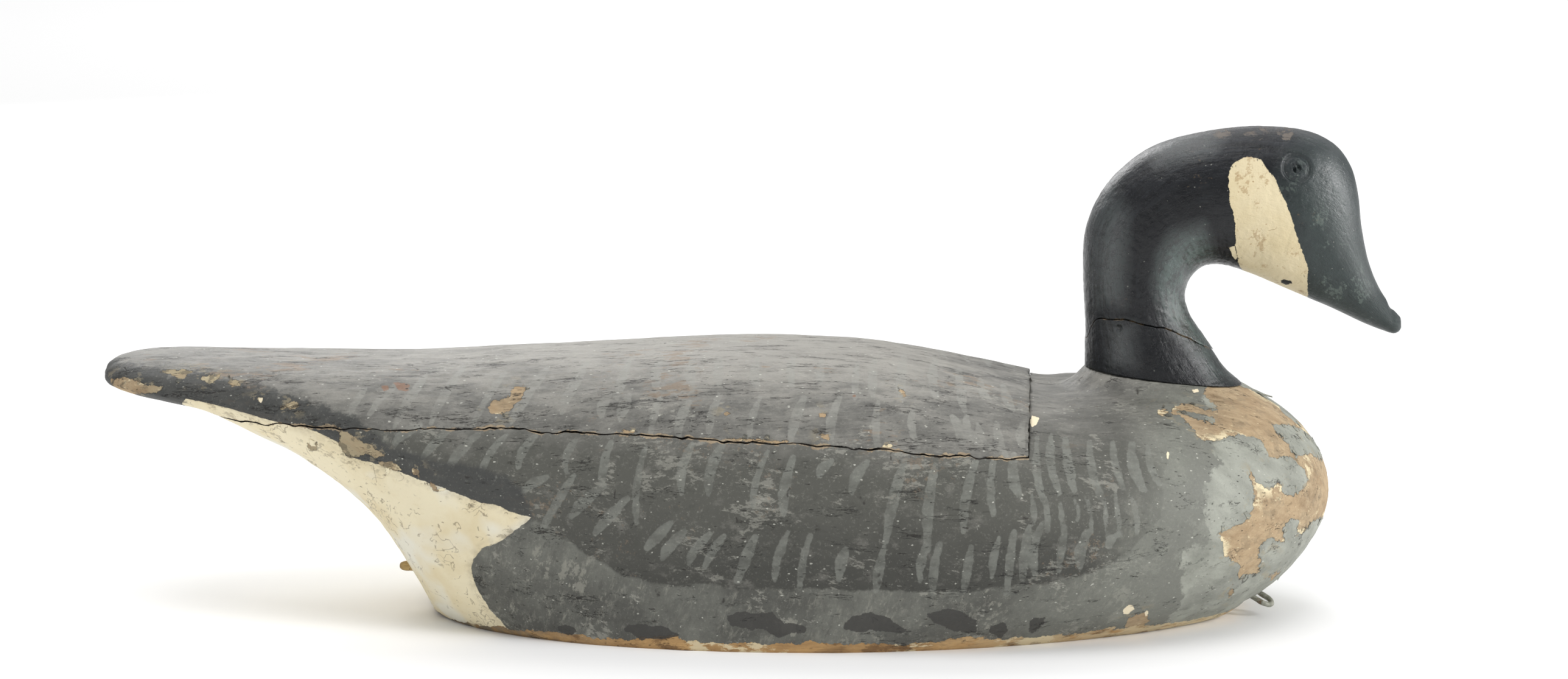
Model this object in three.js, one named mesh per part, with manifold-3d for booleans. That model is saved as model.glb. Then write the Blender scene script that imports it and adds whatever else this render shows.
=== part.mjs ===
// A carved and painted wooden goose decoy that rests on its flat underside.
// Millimetres, +Z up, +X towards the bill. The origin is the middle of the flat underside.
// The body is a lower block with the breast and the shoulder, and a back board with the tail
// let in above it. The head and neck are one carving on a short neck base, which stands on the
// shoulder. A wire staple under the breast takes the anchor line, and a wooden peg is driven
// into the rump.

import * as THREE from "three";
import { mergeVertices } from "three/addons/utils/BufferGeometryUtils.js";
import Module from "manifold-3d";

const wasm = await Module();
wasm.setup();

// Sizes of the body
const baseLength = 488; // flat underside, end to end
const baseWidth = 242;
const tailOverhang = 197; // tail tip behind the underside
const breastOverhang = 54; // breast ahead of the underside
const bodyWidth = 275; // across the widest part
const bodyHeight = 161.5; // underside to the top of the back
const tailTipHeight = 143;
const breastTipHeight = 72;

// Sizes of the back board
const buttSetback = 33.2; // butt joint behind the heel of the neck
const jointHeight = 125.3; // underside of the board at the joint's crest
const jointCrest = 221; // where that crest lies, ahead of the tail tip
const jointRadius = 5300; // the joint is worked as a long shallow arch
const buttSkew = 0.068; // how far the butt joint leans forward for each millimetre to the left
const boardStep = 2.2; // how far the board stands above the shoulder at the butt joint
const boardStepRun = 25; // length over which the shoulder rises back to the body's outline

// Sizes of the head, neck and neck base
const headHeight = 150; // neck seat to the crown
const headWidth = 59;
const neckSetback = 101; // middle of the neck seat behind the breast tip
const seatSlope = -0.116;
const collarHeight = 4.2; // how far the seat stands above the body's outline
const collarSpread = 17; // how far the raised collar runs out from the neck

// Sizes of the carved eye
const eyeRadius = 9.8;
const eyeGrooveWidth = 1.9;
const eyeGrooveDepth = 1.9;
const eyeDiscDepth = 0.5;
const eyePitRadius = 2.6;
const eyePitDepth = 3.4;

// Sizes of the anchor staple and the rump peg
const wireDiameter = 3.4;
const stapleSpacing = 11; // between the two legs
const stapleReach = 13; // length outside the wood
const stapleDepth = 14; // length of each leg inside the wood
const stapleOffset = -30; // across the body, towards the right-hand side
const stapleTurn = 0.5; // radians that the staple is turned about the vertical
const stapleDrop = 0.45; // radians that its legs point below the horizon
const stapleSetback = 46; // its root behind the breast tip
const pegDiameter = 6.6;
const pegReach = 11;
const pegDepth = 16;
const pegHeight = 23;

const gap = 0.3; // clearance between touching pieces

// Lengths that the modelling itself uses: how far from the butt joint the rings lean with it,
// how the shoulder's step starts above the joint, how deep the collar is rooted in the body, the
// sliver between the two rings at the butt joint, and how far cutting shapes reach past the wood
const buttLeanReach = 80;
const stepBlend = 12;
const collarRoot = 4;
const buttSliver = 0.05;
const cutMargin = 40;

// Numbers of facets
const bodySegments = 40;
const jointSteps = 16;
const collarRings = 5;
const headSegments = 26;
const headSteps = 30;
const wireSides = 10;
const bendSteps = 8;
const pegSides = 16;
const domeSteps = 4;
const eyeSides = 24;
const rumpShare = 0.13; // of the underside's length, where the rings lie closer together
const ringCounts = { tail: 9, underTail: 11, rump: 6, back: 11, shoulder: 12, breast: 4, tip: 8 };

// Places that follow from the sizes
const bodyLength = baseLength + tailOverhang + breastOverhang;
const tailTipX = -baseLength / 2 - tailOverhang;
const breastTipX = baseLength / 2 + breastOverhang;
const neckX = breastTipX - neckSetback;
const shareAt = (x) => (x - tailTipX) / bodyLength;
const placeOf = (share) => tailTipX + share * bodyLength;
const jointAt = (x) => jointHeight - (x - tailTipX - jointCrest) ** 2 / (2 * jointRadius);

// A smooth curve through [place, value] points that never overshoots them
function smoothThrough(points) {
  const n = points.length;
  const rise = [];
  for (let i = 0; i < n - 1; i++) {
    rise.push((points[i + 1][1] - points[i][1]) / (points[i + 1][0] - points[i][0]));
  }
  const slope = [rise[0]];
  for (let i = 1; i < n - 1; i++) {
    const product = rise[i - 1] * rise[i];
    slope.push(product > 0 ? (2 * product) / (rise[i - 1] + rise[i]) : 0);
  }
  slope.push(rise[n - 2]);
  return (place) => {
    let i = 0;
    while (i < n - 2 && place > points[i + 1][0]) i++;
    const width = points[i + 1][0] - points[i][0];
    const t = Math.min(1, Math.max(0, (place - points[i][0]) / width));
    const a = (1 + 2 * t) * (1 - t) * (1 - t);
    const b = t * (1 - t) * (1 - t);
    const c = t * t * (3 - 2 * t);
    const d = t * t * (t - 1);
    return a * points[i][1] + b * width * slope[i] + c * points[i + 1][1] + d * width * slope[i + 1];
  };
}

// 1 at the start of a rounded end and 0 at its tip, along a superellipse
function roundOff(share, power) {
  const s = Math.min(1, Math.max(0, share));
  return (1 - s ** power) ** (1 / power);
}

function smoothStep(low, high, value) {
  const t = Math.min(1, Math.max(0, (value - low) / (high - low)));
  return t * t * (3 - 2 * t);
}

// Outlines of the body: places are shares of its length from the tail tip, but of the tail's
// overhang for the keel. Heights are shares of the body's height, and widths of its greatest width.
const backLine = smoothThrough([
  [0, 0.969], [0.075, 0.967], [0.164, 0.956], [0.212, 0.953], [0.262, 0.957], [0.331, 0.97],
  [0.45, 0.991], [0.525, 1], [0.609, 0.985], [0.656, 0.957], [0.715, 0.9], [0.751, 0.863],
  [0.782, 0.84], [0.82, 0.849], [0.864, 0.853], [0.9015, 0.845], [1, 0.83],
]);
const keelLine = smoothThrough([
  [0, 0.825], [0.139, 0.806], [0.278, 0.778], [0.33, 0.759], [0.36, 0.742], [0.491, 0.656],
  [0.585, 0.6], [0.671, 0.528], [0.761, 0.442], [0.848, 0.33], [0.912, 0.207], [0.977, 0.06],
  [1, 0],
]);
const widestLine = smoothThrough([
  [0, 0.876], [0.041, 0.866], [0.095, 0.84], [0.149, 0.805], [0.203, 0.749], [0.257, 0.682],
  [0.311, 0.611], [0.378, 0.55], [0.446, 0.509], [0.554, 0.477], [0.7, 0.463], [0.85, 0.451],
  [1, 0.446],
]);
const widthLine = smoothThrough([
  [0, 0.33], [0.048, 0.352], [0.095, 0.402], [0.149, 0.49], [0.195, 0.568], [0.245, 0.642],
  [0.32, 0.728], [0.369, 0.776], [0.431, 0.836], [0.493, 0.891], [0.554, 0.935], [0.606, 0.967],
  [0.653, 0.989], [0.7, 1],
]);
const shoulderFullness = smoothThrough([
  [0, 2.2], [0.15, 2.1], [0.3, 2.15], [0.5, 2.45], [0.75, 2.4], [1, 2.1],
]);
const tailRoundShare = 0.075;
const tailTopPower = 3;
const tailPlanPower = 2.5;
const breastTopShare = 0.9015;
const breastTopPower = 1.95;
const breastUnderLead = 16.2; // how far behind the underside's front end the breast starts to rise
const breastUnderPower = 1.6;
const widestShare = 0.7;
const breastPlanPower = 2.05;
const baseMiddleShare = 0.58;
const baseRearPower = 2.1;
const baseFrontPower = 1.8;

const breastUnderX = baseLength / 2 - breastUnderLead;

// The height of the back, the keel and the widest line, and the half widths, at a share
function bodyAt(share) {
  const tailTop = roundOff(1 - share / tailRoundShare, tailTopPower);
  const tailPlan = roundOff(1 - share / tailRoundShare, tailPlanPower);
  const breastTop = roundOff((share - breastTopShare) / (1 - breastTopShare), breastTopPower);
  const breastRise = (placeOf(share) - breastUnderX) / (breastTipX - breastUnderX);
  const breastUnder = roundOff(breastRise, breastUnderPower);
  const breastPlan = roundOff((share - widestShare) / (1 - widestShare), breastPlanPower);
  const ahead = share > 0.5;
  const tip = ahead ? breastTipHeight : tailTipHeight;
  const keel = ahead ? 0 : keelLine((share * bodyLength) / tailOverhang) * bodyHeight;
  return {
    x: placeOf(share),
    top: tip + (backLine(share) * bodyHeight - tip) * (ahead ? breastTop : tailTop),
    keel: tip + (keel - tip) * (ahead ? breastUnder : tailPlan),
    widest: tip + (widestLine(share) * bodyHeight - tip) * (ahead ? breastTop : tailTop),
    half: (bodyWidth / 2) * widthLine(share) * (ahead ? breastPlan : tailPlan),
    fullness: shoulderFullness(share),
    base: baseHalfAt(placeOf(share)),
  };
}

// Half width of the flat underside
function baseHalfAt(x) {
  const middle = placeOf(baseMiddleShare);
  if (Math.abs(x) >= baseLength / 2) return 0;
  const behind = x < middle;
  const run = behind ? middle + baseLength / 2 : baseLength / 2 - middle;
  const power = behind ? baseRearPower : baseFrontPower;
  return (baseWidth / 2) * roundOff(Math.abs(x - middle) / run, power);
}

// Half width of a superellipse section at a sine or cosine, with its sign kept
const eased = (v, power) => Math.sign(v) * Math.abs(v) ** (2 / power);

// The neck seat: a sloping plane on a raised collar
const neckShare = shareAt(neckX);
const seatMiddle = backLine(neckShare) * bodyHeight + collarHeight;
const seatAt = (x) => seatMiddle + seatSlope * (x - neckX);

// Stations of the neck and head, up the neck and round to the bill: back x and z, throat x
// and z as shares of the head's height from the middle of the seat, then the half thickness
// as a share of the head's half width
const headStations = [
  [-0.315, -0.315 * seatSlope, 0.317, 0.317 * seatSlope, 1.04],
  [-0.315, 0.1, 0.247, 0.03, 1],
  [-0.316, 0.2, 0.163, 0.155, 0.93],
  [-0.323, 0.3, 0.107, 0.24, 0.885],
  [-0.328, 0.41, 0.083, 0.31, 0.875],
  [-0.328, 0.52, 0.089, 0.365, 0.885],
  [-0.313, 0.615, 0.107, 0.402, 0.9],
  [-0.274, 0.71, 0.13, 0.428, 0.92],
  [-0.2, 0.81, 0.157, 0.443, 0.94],
  [-0.086, 0.902, 0.189, 0.449, 0.96],
  [0.046, 0.958, 0.228, 0.446, 0.975],
  [0.203, 0.987, 0.284, 0.432, 0.99],
  [0.38, 1, 0.365, 0.401, 1],
  [0.549, 0.984, 0.446, 0.366, 0.985],
  [0.664, 0.93, 0.527, 0.331, 0.93],
  [0.73, 0.847, 0.598, 0.3, 0.85],
  [0.762, 0.742, 0.664, 0.273, 0.745],
  [0.779, 0.61, 0.73, 0.242, 0.63],
  [0.81, 0.47, 0.795, 0.211, 0.515],
  [0.855, 0.36, 0.856, 0.186, 0.415],
  [0.914, 0.27, 0.905, 0.168, 0.34],
];
const billTip = [0.954, 0.203];
const headPower = 2.15;

// The butt joint between the board and the shoulder stands just behind the heel of the neck
const buttX = neckX + headStations[0][0] * headHeight - buttSetback;

// Rows between the stations, by a uniform spline; t runs from 0 to the last row
function headRow(t) {
  const last = headStations.length - 1;
  const i = Math.min(last - 1, Math.max(0, Math.floor(t)));
  const f = t - i;
  const b = headStations[i];
  const c = headStations[i + 1];
  const a = i > 0 ? headStations[i - 1] : b.map((v, k) => 2 * v - c[k]);
  const d = i + 2 <= last ? headStations[i + 2] : c.map((v, k) => 2 * v - b[k]);
  return b.map((v, k) => {
    const from = (c[k] - a[k]) / 2;
    const to = (d[k] - v) / 2;
    const rise = c[k] - v;
    return v + f * (from + f * (3 * rise - 2 * from - to + f * (from + to - 2 * rise)));
  });
}

// A point of the head's skin in the head's own frame: the angle is 0 at the back of the neck
// or the crown, and runs round by the right-hand side
function headPoint(t, angle) {
  const [bx, bz, tx, tz, thick] = headRow(t);
  const along = eased(Math.cos(angle), headPower);
  const across = eased(Math.sin(angle), headPower);
  const x = (bx + tx) / 2 + ((bx - tx) / 2) * along;
  const z = (bz + tz) / 2 + ((bz - tz) / 2) * along;
  return new THREE.Vector3(x * headHeight, (-thick * headWidth * across) / 2, z * headHeight);
}

// Closed skin from rings of points, with a pole or a flat cap at each end
function skin(rings, firstPole, lastPole) {
  const count = rings[0].length;
  const points = [firstPole, ...rings.flat(), lastPole];
  const index = [];
  const at = (ring, k) => 1 + ring * count + (k % count);
  for (let k = 0; k < count; k++) {
    index.push(0, at(0, k + 1), at(0, k));
    for (let ring = 0; ring < rings.length - 1; ring++) {
      index.push(at(ring, k), at(ring, k + 1), at(ring + 1, k + 1));
      index.push(at(ring, k), at(ring + 1, k + 1), at(ring + 1, k));
    }
    index.push(points.length - 1, at(rings.length - 1, k), at(rings.length - 1, k + 1));
  }
  const geometry = new THREE.BufferGeometry().setFromPoints(points);
  geometry.setIndex(index);
  return geometry;
}

// Boolean joins and cuts
function solidOf(geometry) {
  const bare = geometry.index ? geometry.toNonIndexed() : geometry.clone();
  for (const name of Object.keys(bare.attributes)) {
    if (name !== "position") bare.deleteAttribute(name);
  }
  const merged = mergeVertices(bare, 1e-4);
  const corners = merged.index.array;
  const kept = [];
  for (let i = 0; i < corners.length; i += 3) {
    const [a, b, c] = corners.slice(i, i + 3);
    if (a !== b && b !== c && c !== a) kept.push(a, b, c);
  }
  return new wasm.Manifold(
    new wasm.Mesh({
      numProp: 3,
      vertProperties: merged.attributes.position.array,
      triVerts: new Uint32Array(kept),
    }),
  );
}

function geometryOf(solid) {
  const mesh = solid.getMesh();
  const geometry = new THREE.BufferGeometry();
  geometry.setAttribute("position", new THREE.BufferAttribute(mesh.vertProperties, 3));
  geometry.setIndex(new THREE.BufferAttribute(mesh.triVerts, 1));
  geometry.computeVertexNormals();
  return geometry;
}

// A plate with a side outline in x and z, as thick as asked across the body
function sidePlate(outline, thickness) {
  const shape = new THREE.Shape(outline.map(([x, z]) => new THREE.Vector2(x, z)));
  const plate = new THREE.ExtrudeGeometry(shape, { depth: thickness, bevelEnabled: false });
  return plate.translate(0, 0, -thickness / 2).rotateX(Math.PI / 2);
}

// Places from one value to another, closer together at the ends that are eased
function spaced(from, to, count, easeFrom, easeTo) {
  const places = [];
  for (let i = 0; i < count; i++) {
    const t = i / count;
    const start = 1 - Math.cos((t * Math.PI) / 2);
    const end = Math.sin((t * Math.PI) / 2);
    const both = (1 - Math.cos(t * Math.PI)) / 2;
    const eased = easeFrom && easeTo ? both : easeFrom ? start : easeTo ? end : t;
    places.push(from + (to - from) * eased);
  }
  return places;
}

// A point of the body's skin: step 0 is the keel, step 1 the edge of the flat underside, half
// way up is the widest line and the last step is the top of the back
function bodyPoint(s, step, side) {
  const steps = bodySegments / 2;
  const middle = steps / 2;
  if (step === 0) return [0, s.keel];
  if (step < middle) {
    const angle = (Math.PI / 2) * ((step - 1) / (middle - 1));
    const power = 0.5 + 0.5 * Math.min(1, s.base / Math.max(s.half, 1));
    const y = s.base + (s.half - s.base) * Math.sin(angle) ** (2 * power);
    return [side * y, s.widest - (s.widest - s.keel) * Math.cos(angle)];
  }
  const angle = (Math.PI / 2) * ((step - middle) / middle);
  const y = step === steps ? 0 : side * s.half * Math.cos(angle) ** (2 / s.fullness);
  const z = s.widest + (s.top - s.widest) * Math.sin(angle) ** (2 / s.fullness);
  return [y, z - stepAt(s.x, y, z)];
}

// One ring of the skin, from the keel by the left-hand side, over the back and down. Rings near
// the butt joint lean with it.
function bodyRing(share) {
  const x = placeOf(share);
  const lean = buttSkew * (1 - smoothStep(0, buttLeanReach, Math.abs(x - buttX)));
  const ring = [];
  for (let k = 0; k < bodySegments; k++) {
    const side = k > bodySegments / 2 ? -1 : 1;
    const step = side > 0 ? k : bodySegments - k;
    const leaning = x + lean * bodyPoint(bodyAt(share), step, side)[0];
    const [y, z] = bodyPoint(bodyAt(shareAt(leaning)), step, side);
    ring.push(new THREE.Vector3(leaning, y, z));
  }
  return ring;
}

// How far the shoulder lies below the body's outline just ahead of the back board
function stepAt(x, y, z) {
  const past = x - buttX - buttSkew * y;
  if (past <= 0) return 0;
  return boardStep * (1 - smoothStep(0, boardStepRun, past)) * smoothStep(0, stepBlend, z - jointAt(x));
}

// The height of the body's upper side over a place
function upperSideAt(x, y) {
  const s = bodyAt(shareAt(x));
  const across = Math.min(1, Math.abs(y) / s.half);
  const z = s.widest + (s.top - s.widest) * roundOff(across, s.fullness);
  return z - stepAt(x, y, z);
}

// The raised collar under the neck: a flat seat with a hollow flank that runs out onto the body
function collarSkin() {
  const [backX, , throatX, , thick] = headStations[0];
  const middleX = neckX + ((backX + throatX) / 2) * headHeight;
  const halfLength = ((throatX - backX) / 2) * headHeight;
  const halfWidth = (thick * headWidth) / 2;
  const ringAt = (t, drop) => {
    const ring = [];
    for (let k = 0; k < headSegments; k++) {
      const angle = (2 * Math.PI * k) / headSegments;
      const reach = t * collarSpread;
      const x = middleX - (halfLength * eased(Math.cos(angle), headPower) + reach * Math.cos(angle));
      const y = -(halfWidth * eased(Math.sin(angle), headPower) + reach * Math.sin(angle));
      const low = upperSideAt(x, y) - drop;
      ring.push(new THREE.Vector3(x, y, low + (seatAt(x) - low) * (1 - t) ** 2));
    }
    return ring;
  };
  const rings = [ringAt(1, collarRoot)];
  for (let i = collarRings; i >= 0; i--) rings.push(ringAt(i / collarRings, gap));
  const pole = (height) => new THREE.Vector3(middleX, 0, height);
  return skin(rings, pole(seatAt(middleX) - collarHeight - collarRoot), pole(seatAt(middleX)));
}

// The whole body as one skin, before it is parted at the two joints
function bodySkin() {
  const butt = shareAt(buttX);
  const sliver = buttSliver / bodyLength;
  const baseRear = shareAt(-baseLength / 2);
  const baseFront = shareAt(baseLength / 2);
  const rumpEnd = baseRear + rumpShare * (baseFront - baseRear);
  const shares = [
    ...spaced(0, tailRoundShare, ringCounts.tail, true, false).slice(1),
    ...spaced(tailRoundShare, baseRear, ringCounts.underTail, false, false),
    ...spaced(baseRear, rumpEnd, ringCounts.rump, true, false),
    ...spaced(rumpEnd, butt - sliver, ringCounts.back, false, false),
    butt - sliver,
    ...spaced(butt + sliver, breastTopShare, ringCounts.shoulder, false, false),
    ...spaced(breastTopShare, baseFront, ringCounts.breast, false, true),
    ...spaced(baseFront, 1, ringCounts.tip, false, true),
    1 - sliver,
  ];
  const tailTip = new THREE.Vector3(tailTipX, 0, tailTipHeight);
  const breastTip = new THREE.Vector3(breastTipX, 0, breastTipHeight);
  return skin(shares.map(bodyRing), tailTip, breastTip);
}

// The space that the back board takes, cut back or grown by the clearance
function boardSpace(clearance) {
  const rear = tailTipX - cutMargin;
  const front = buttX + clearance;
  const above = bodyHeight + cutMargin;
  const outline = [[front, above], [rear, above]];
  for (let i = 0; i <= jointSteps; i++) {
    const x = rear + ((front - rear) * i) / jointSteps;
    outline.push([x, jointAt(x) - clearance]);
  }
  const lean = new THREE.Matrix4().makeShear(0, 0, buttSkew, 0, 0, 0);
  return solidOf(sidePlate(outline, bodyWidth + cutMargin).applyMatrix4(lean));
}

// The head and neck, from the seat to the bill, in the head's own frame
function headSkin() {
  const last = headStations.length - 1;
  const rings = [];
  for (let i = 0; i <= headSteps; i++) {
    const ring = [];
    for (let k = 0; k < headSegments; k++) {
      ring.push(headPoint((last * i) / headSteps, (2 * Math.PI * k) / headSegments));
    }
    rings.push(ring);
  }
  const tip = new THREE.Vector3(billTip[0] * headHeight, 0, billTip[1] * headHeight);
  const end = rings[rings.length - 1];
  for (const shrink of [0.8, 0.5]) {
    const forward = 1 - Math.sqrt(1 - (1 - shrink) ** 2);
    rings.push(end.map((p) => {
      const inner = new THREE.Vector3(tip.x, p.y * shrink, tip.z);
      return p.clone().lerp(tip, forward).lerp(inner, 1 - shrink);
    }));
  }
  const first = rings[0];
  const seatCentre = first.reduce((sum, p) => sum.add(p), new THREE.Vector3());
  return skin(rings, seatCentre.divideScalar(first.length), tip);
}

// The seam through the neck, from the nape to the throat, as shares of the head's height
const neckSeam = [
  [-0.45, 0.1], [-0.317, 0.147], [-0.29, 0.226], [-0.265, 0.247], [-0.18, 0.25], [-0.08, 0.229],
  [-0.02, 0.217], [0.04, 0.19], [0.1, 0.161], [0.186, 0.109], [0.3, 0.05],
];

function neckBaseSpace(clearance) {
  const line = neckSeam.map(([x, z]) => [x * headHeight, z * headHeight + clearance]);
  const below = -headHeight / 3;
  const outline = [...line, [line[line.length - 1][0] + headHeight, below], [line[0][0], below]];
  return solidOf(sidePlate(outline, headWidth + cutMargin));
}

// The carved eye: a groove round a flat disc with a pit in its middle, as one cutter
const eyeStation = 12.78; // between two rows of the head
const eyeAngle = 1; // radians from the crown
const eyeWallSlope = 0.6; // how much a wall of the groove leans
const eyeCutterHeight = 3;

function eyeCutter(side) {
  const profile = [
    [0, -eyePitDepth],
    [eyePitRadius * 0.8, -eyePitDepth],
    [eyePitRadius, -eyeDiscDepth],
    [eyeRadius - eyeGrooveWidth - eyeWallSlope, -eyeDiscDepth],
    [eyeRadius - eyeGrooveWidth, -eyeGrooveDepth],
    [eyeRadius - eyeWallSlope, -eyeGrooveDepth],
    [eyeRadius, eyeCutterHeight],
    [0, eyeCutterHeight],
  ];
  const points = profile.map(([r, h]) => new THREE.Vector2(r, h));
  const cutter = new THREE.LatheGeometry(points, eyeSides);
  const angle = side * eyeAngle;
  const middle = headPoint(eyeStation, angle);
  const along = headPoint(eyeStation + 0.2, angle).sub(headPoint(eyeStation - 0.2, angle));
  const round = headPoint(eyeStation, angle + 0.05).sub(headPoint(eyeStation, angle - 0.05));
  const outward = along.cross(round).normalize();
  if (outward.y * middle.y < 0) outward.negate();
  const turn = new THREE.Quaternion().setFromUnitVectors(new THREE.Vector3(0, 1, 0), outward);
  return solidOf(cutter.applyQuaternion(turn).translate(middle.x, middle.y, middle.z));
}

// A round bar along X with a domed far end, used for the peg and to bore its hole
function bar(radius, length, dome) {
  const profile = [[0, 0], [radius, 0], [radius, length - dome]];
  for (let i = 1; i <= domeSteps; i++) {
    const angle = (i / domeSteps) * (Math.PI / 2);
    profile.push([radius * Math.cos(angle), length - dome + dome * Math.sin(angle)]);
  }
  profile[profile.length - 1][0] = 0;
  const points = profile.map(([r, h]) => new THREE.Vector2(r, h));
  return new THREE.LatheGeometry(points, pegSides).rotateZ(Math.PI / 2);
}

// The peg's place: where the rump's keel line is at the peg's height
function rumpAt(height) {
  let low = tailRoundShare;
  let high = shareAt(-baseLength / 2);
  for (let i = 0; i < 40; i++) {
    const middle = (low + high) / 2;
    if (bodyAt(middle).keel > height) low = middle;
    else high = middle;
  }
  return placeOf(low);
}

// The staple: a bent wire in its own frame, its legs running along X and its bend at the far end
function staple(diameter, depth, reach) {
  const half = stapleSpacing / 2;
  const path = new THREE.CurvePath();
  const leg = (side, from, to) =>
    new THREE.LineCurve3(new THREE.Vector3(from, side * half, 0), new THREE.Vector3(to, side * half, 0));
  const straight = reach - half - wireDiameter / 2;
  path.add(leg(1, -depth, straight));
  const bend = [];
  for (let i = 0; i <= bendSteps; i++) {
    const angle = Math.PI / 2 - (Math.PI * i) / bendSteps;
    bend.push(new THREE.Vector3(straight + half * Math.cos(angle), half * Math.sin(angle), 0));
  }
  for (let i = 0; i < bendSteps; i++) path.add(new THREE.LineCurve3(bend[i], bend[i + 1]));
  path.add(leg(-1, straight, -depth));
  return wireAlong(path.curves, diameter / 2);
}

// A wire of straight stretches whose rings are mitred where two stretches meet
function wireAlong(lines, radius) {
  const corners = [lines[0].v1, ...lines.map((line) => line.v2)];
  const up = new THREE.Vector3(0, 0, 1);
  const rings = corners.map((corner, i) => {
    const before = corner.clone().sub(corners[Math.max(0, i - 1)]).normalize();
    const after = corners[Math.min(corners.length - 1, i + 1)].clone().sub(corner).normalize();
    const way = before.add(after).normalize();
    const across = up.clone().cross(way).normalize();
    const ring = [];
    for (let k = 0; k < wireSides; k++) {
      const angle = (2 * Math.PI * k) / wireSides;
      ring.push(corner.clone()
        .addScaledVector(across, radius * Math.cos(angle))
        .addScaledVector(up, radius * Math.sin(angle)));
    }
    return ring;
  });
  return skin(rings, corners[0], corners[corners.length - 1]);
}

// Where the staple's root meets the underside of the breast, and how it is turned
function undersideAt(x, y) {
  const s = bodyAt(shareAt(x));
  const past = Math.max(0, Math.abs(y) - s.base) / (s.half - s.base);
  const power = 0.5 + 0.5 * (s.base / s.half);
  const sine = past ** (1 / (2 * power));
  return s.widest - (s.widest - s.keel) * Math.sqrt(1 - sine * sine);
}
const stapleX = breastTipX - stapleSetback;
const stapleRoot = new THREE.Vector3(stapleX, stapleOffset, undersideAt(stapleX, stapleOffset));
const stapleTurnBy = new THREE.Euler(0, stapleDrop, -stapleTurn, "ZYX");

function place(geometry, position, turn) {
  const matrix = new THREE.Matrix4().makeRotationFromEuler(turn).setPosition(position);
  return geometry.applyMatrix4(matrix);
}

// The named pieces
const paint = {
  grey: new THREE.MeshStandardMaterial({ color: 0x6b6964, roughness: 0.85, metalness: 0 }),
  back: new THREE.MeshStandardMaterial({ color: 0x74716c, roughness: 0.9, metalness: 0 }),
  black: new THREE.MeshStandardMaterial({ color: 0x2c3032, roughness: 0.5, metalness: 0 }),
  wood: new THREE.MeshStandardMaterial({ color: 0xa88a5c, roughness: 0.8, metalness: 0 }),
  wire: new THREE.MeshStandardMaterial({ color: 0x8b8e82, roughness: 0.5, metalness: 0.6 }),
};

function piece(name, geometry, material) {
  const mesh = new THREE.Mesh(geometry, material);
  mesh.name = name;
  return mesh;
}

const decoy = new THREE.Group();
const noTurn = new THREE.Euler(0, 0, 0);
const pegRoot = new THREE.Vector3(rumpAt(pegHeight) + pegDepth, 0, pegHeight);
const wholeBody = solidOf(bodySkin()).add(solidOf(collarSkin()));

const pegHoleEnd = pegRoot.clone().add(new THREE.Vector3(gap, 0, 0));
const pegBore = bar(pegDiameter / 2 + gap, pegDepth + cutMargin, pegDiameter / 3);
const pegHole = place(pegBore, pegHoleEnd, noTurn);
const stapleBore = staple(wireDiameter + 2 * gap, stapleDepth + gap, stapleReach);
const stapleHole = place(stapleBore, stapleRoot, stapleTurnBy);
const block = wholeBody
  .subtract(boardSpace(gap / 2))
  .subtract(solidOf(pegHole))
  .subtract(solidOf(stapleHole));
decoy.add(piece("body_block", geometryOf(block), paint.grey));
decoy.add(piece("back_board", geometryOf(wholeBody.intersect(boardSpace(-gap / 2))), paint.back));

const peg = place(bar(pegDiameter / 2, pegDepth + pegReach, pegDiameter / 3), pegRoot, noTurn);
decoy.add(piece("rump_peg", peg, paint.wood));
const anchorStaple = place(staple(wireDiameter, stapleDepth, stapleReach), stapleRoot, stapleTurnBy);
decoy.add(piece("anchor_staple", anchorStaple, paint.wire));

const headGroup = new THREE.Group();
headGroup.position.set(neckX, 0, seatMiddle + gap);
const wholeHead = solidOf(headSkin());
const neckBase = wholeHead.intersect(neckBaseSpace(-gap / 2));
headGroup.add(piece("neck_base", geometryOf(neckBase), paint.black));
const head = wholeHead
  .subtract(neckBaseSpace(gap / 2))
  .subtract(eyeCutter(1))
  .subtract(eyeCutter(-1));
headGroup.add(piece("head_and_neck", geometryOf(head), paint.black));
decoy.add(headGroup);

export default decoy;
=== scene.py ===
import math
import bpy
import bmesh
import numpy as np
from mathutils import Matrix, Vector


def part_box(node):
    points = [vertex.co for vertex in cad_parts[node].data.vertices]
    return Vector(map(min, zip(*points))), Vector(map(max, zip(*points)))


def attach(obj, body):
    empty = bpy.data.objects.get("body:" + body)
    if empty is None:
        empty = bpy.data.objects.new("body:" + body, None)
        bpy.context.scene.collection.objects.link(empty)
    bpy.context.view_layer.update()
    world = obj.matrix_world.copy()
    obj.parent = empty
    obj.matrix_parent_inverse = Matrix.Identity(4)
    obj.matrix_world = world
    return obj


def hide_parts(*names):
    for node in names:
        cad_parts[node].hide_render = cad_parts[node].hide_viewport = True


# A carved and painted goose decoy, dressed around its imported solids. Sizes are in millimetres until
# a mesh is made. Spots and outlines are pixels of the 2576 x 1115 photograph.

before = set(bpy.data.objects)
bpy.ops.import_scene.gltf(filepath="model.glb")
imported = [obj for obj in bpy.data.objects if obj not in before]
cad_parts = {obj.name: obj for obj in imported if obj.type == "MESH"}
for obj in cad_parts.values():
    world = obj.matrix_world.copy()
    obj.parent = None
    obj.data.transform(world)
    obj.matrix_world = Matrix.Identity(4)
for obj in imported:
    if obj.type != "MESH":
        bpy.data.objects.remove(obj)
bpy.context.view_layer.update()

# The camera that took the photograph, and where a point of the decoy falls in it
photoView = {
    "width": 2576,
    "height": 1115,
    "cameraX": -32,
    "cameraY": -2200,
    "cameraZ": 550,
    "aimZ": 163,
    "lens": 85,
    "sensor": 36,
    "mmPerPixel": 0.3664,
}


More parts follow.
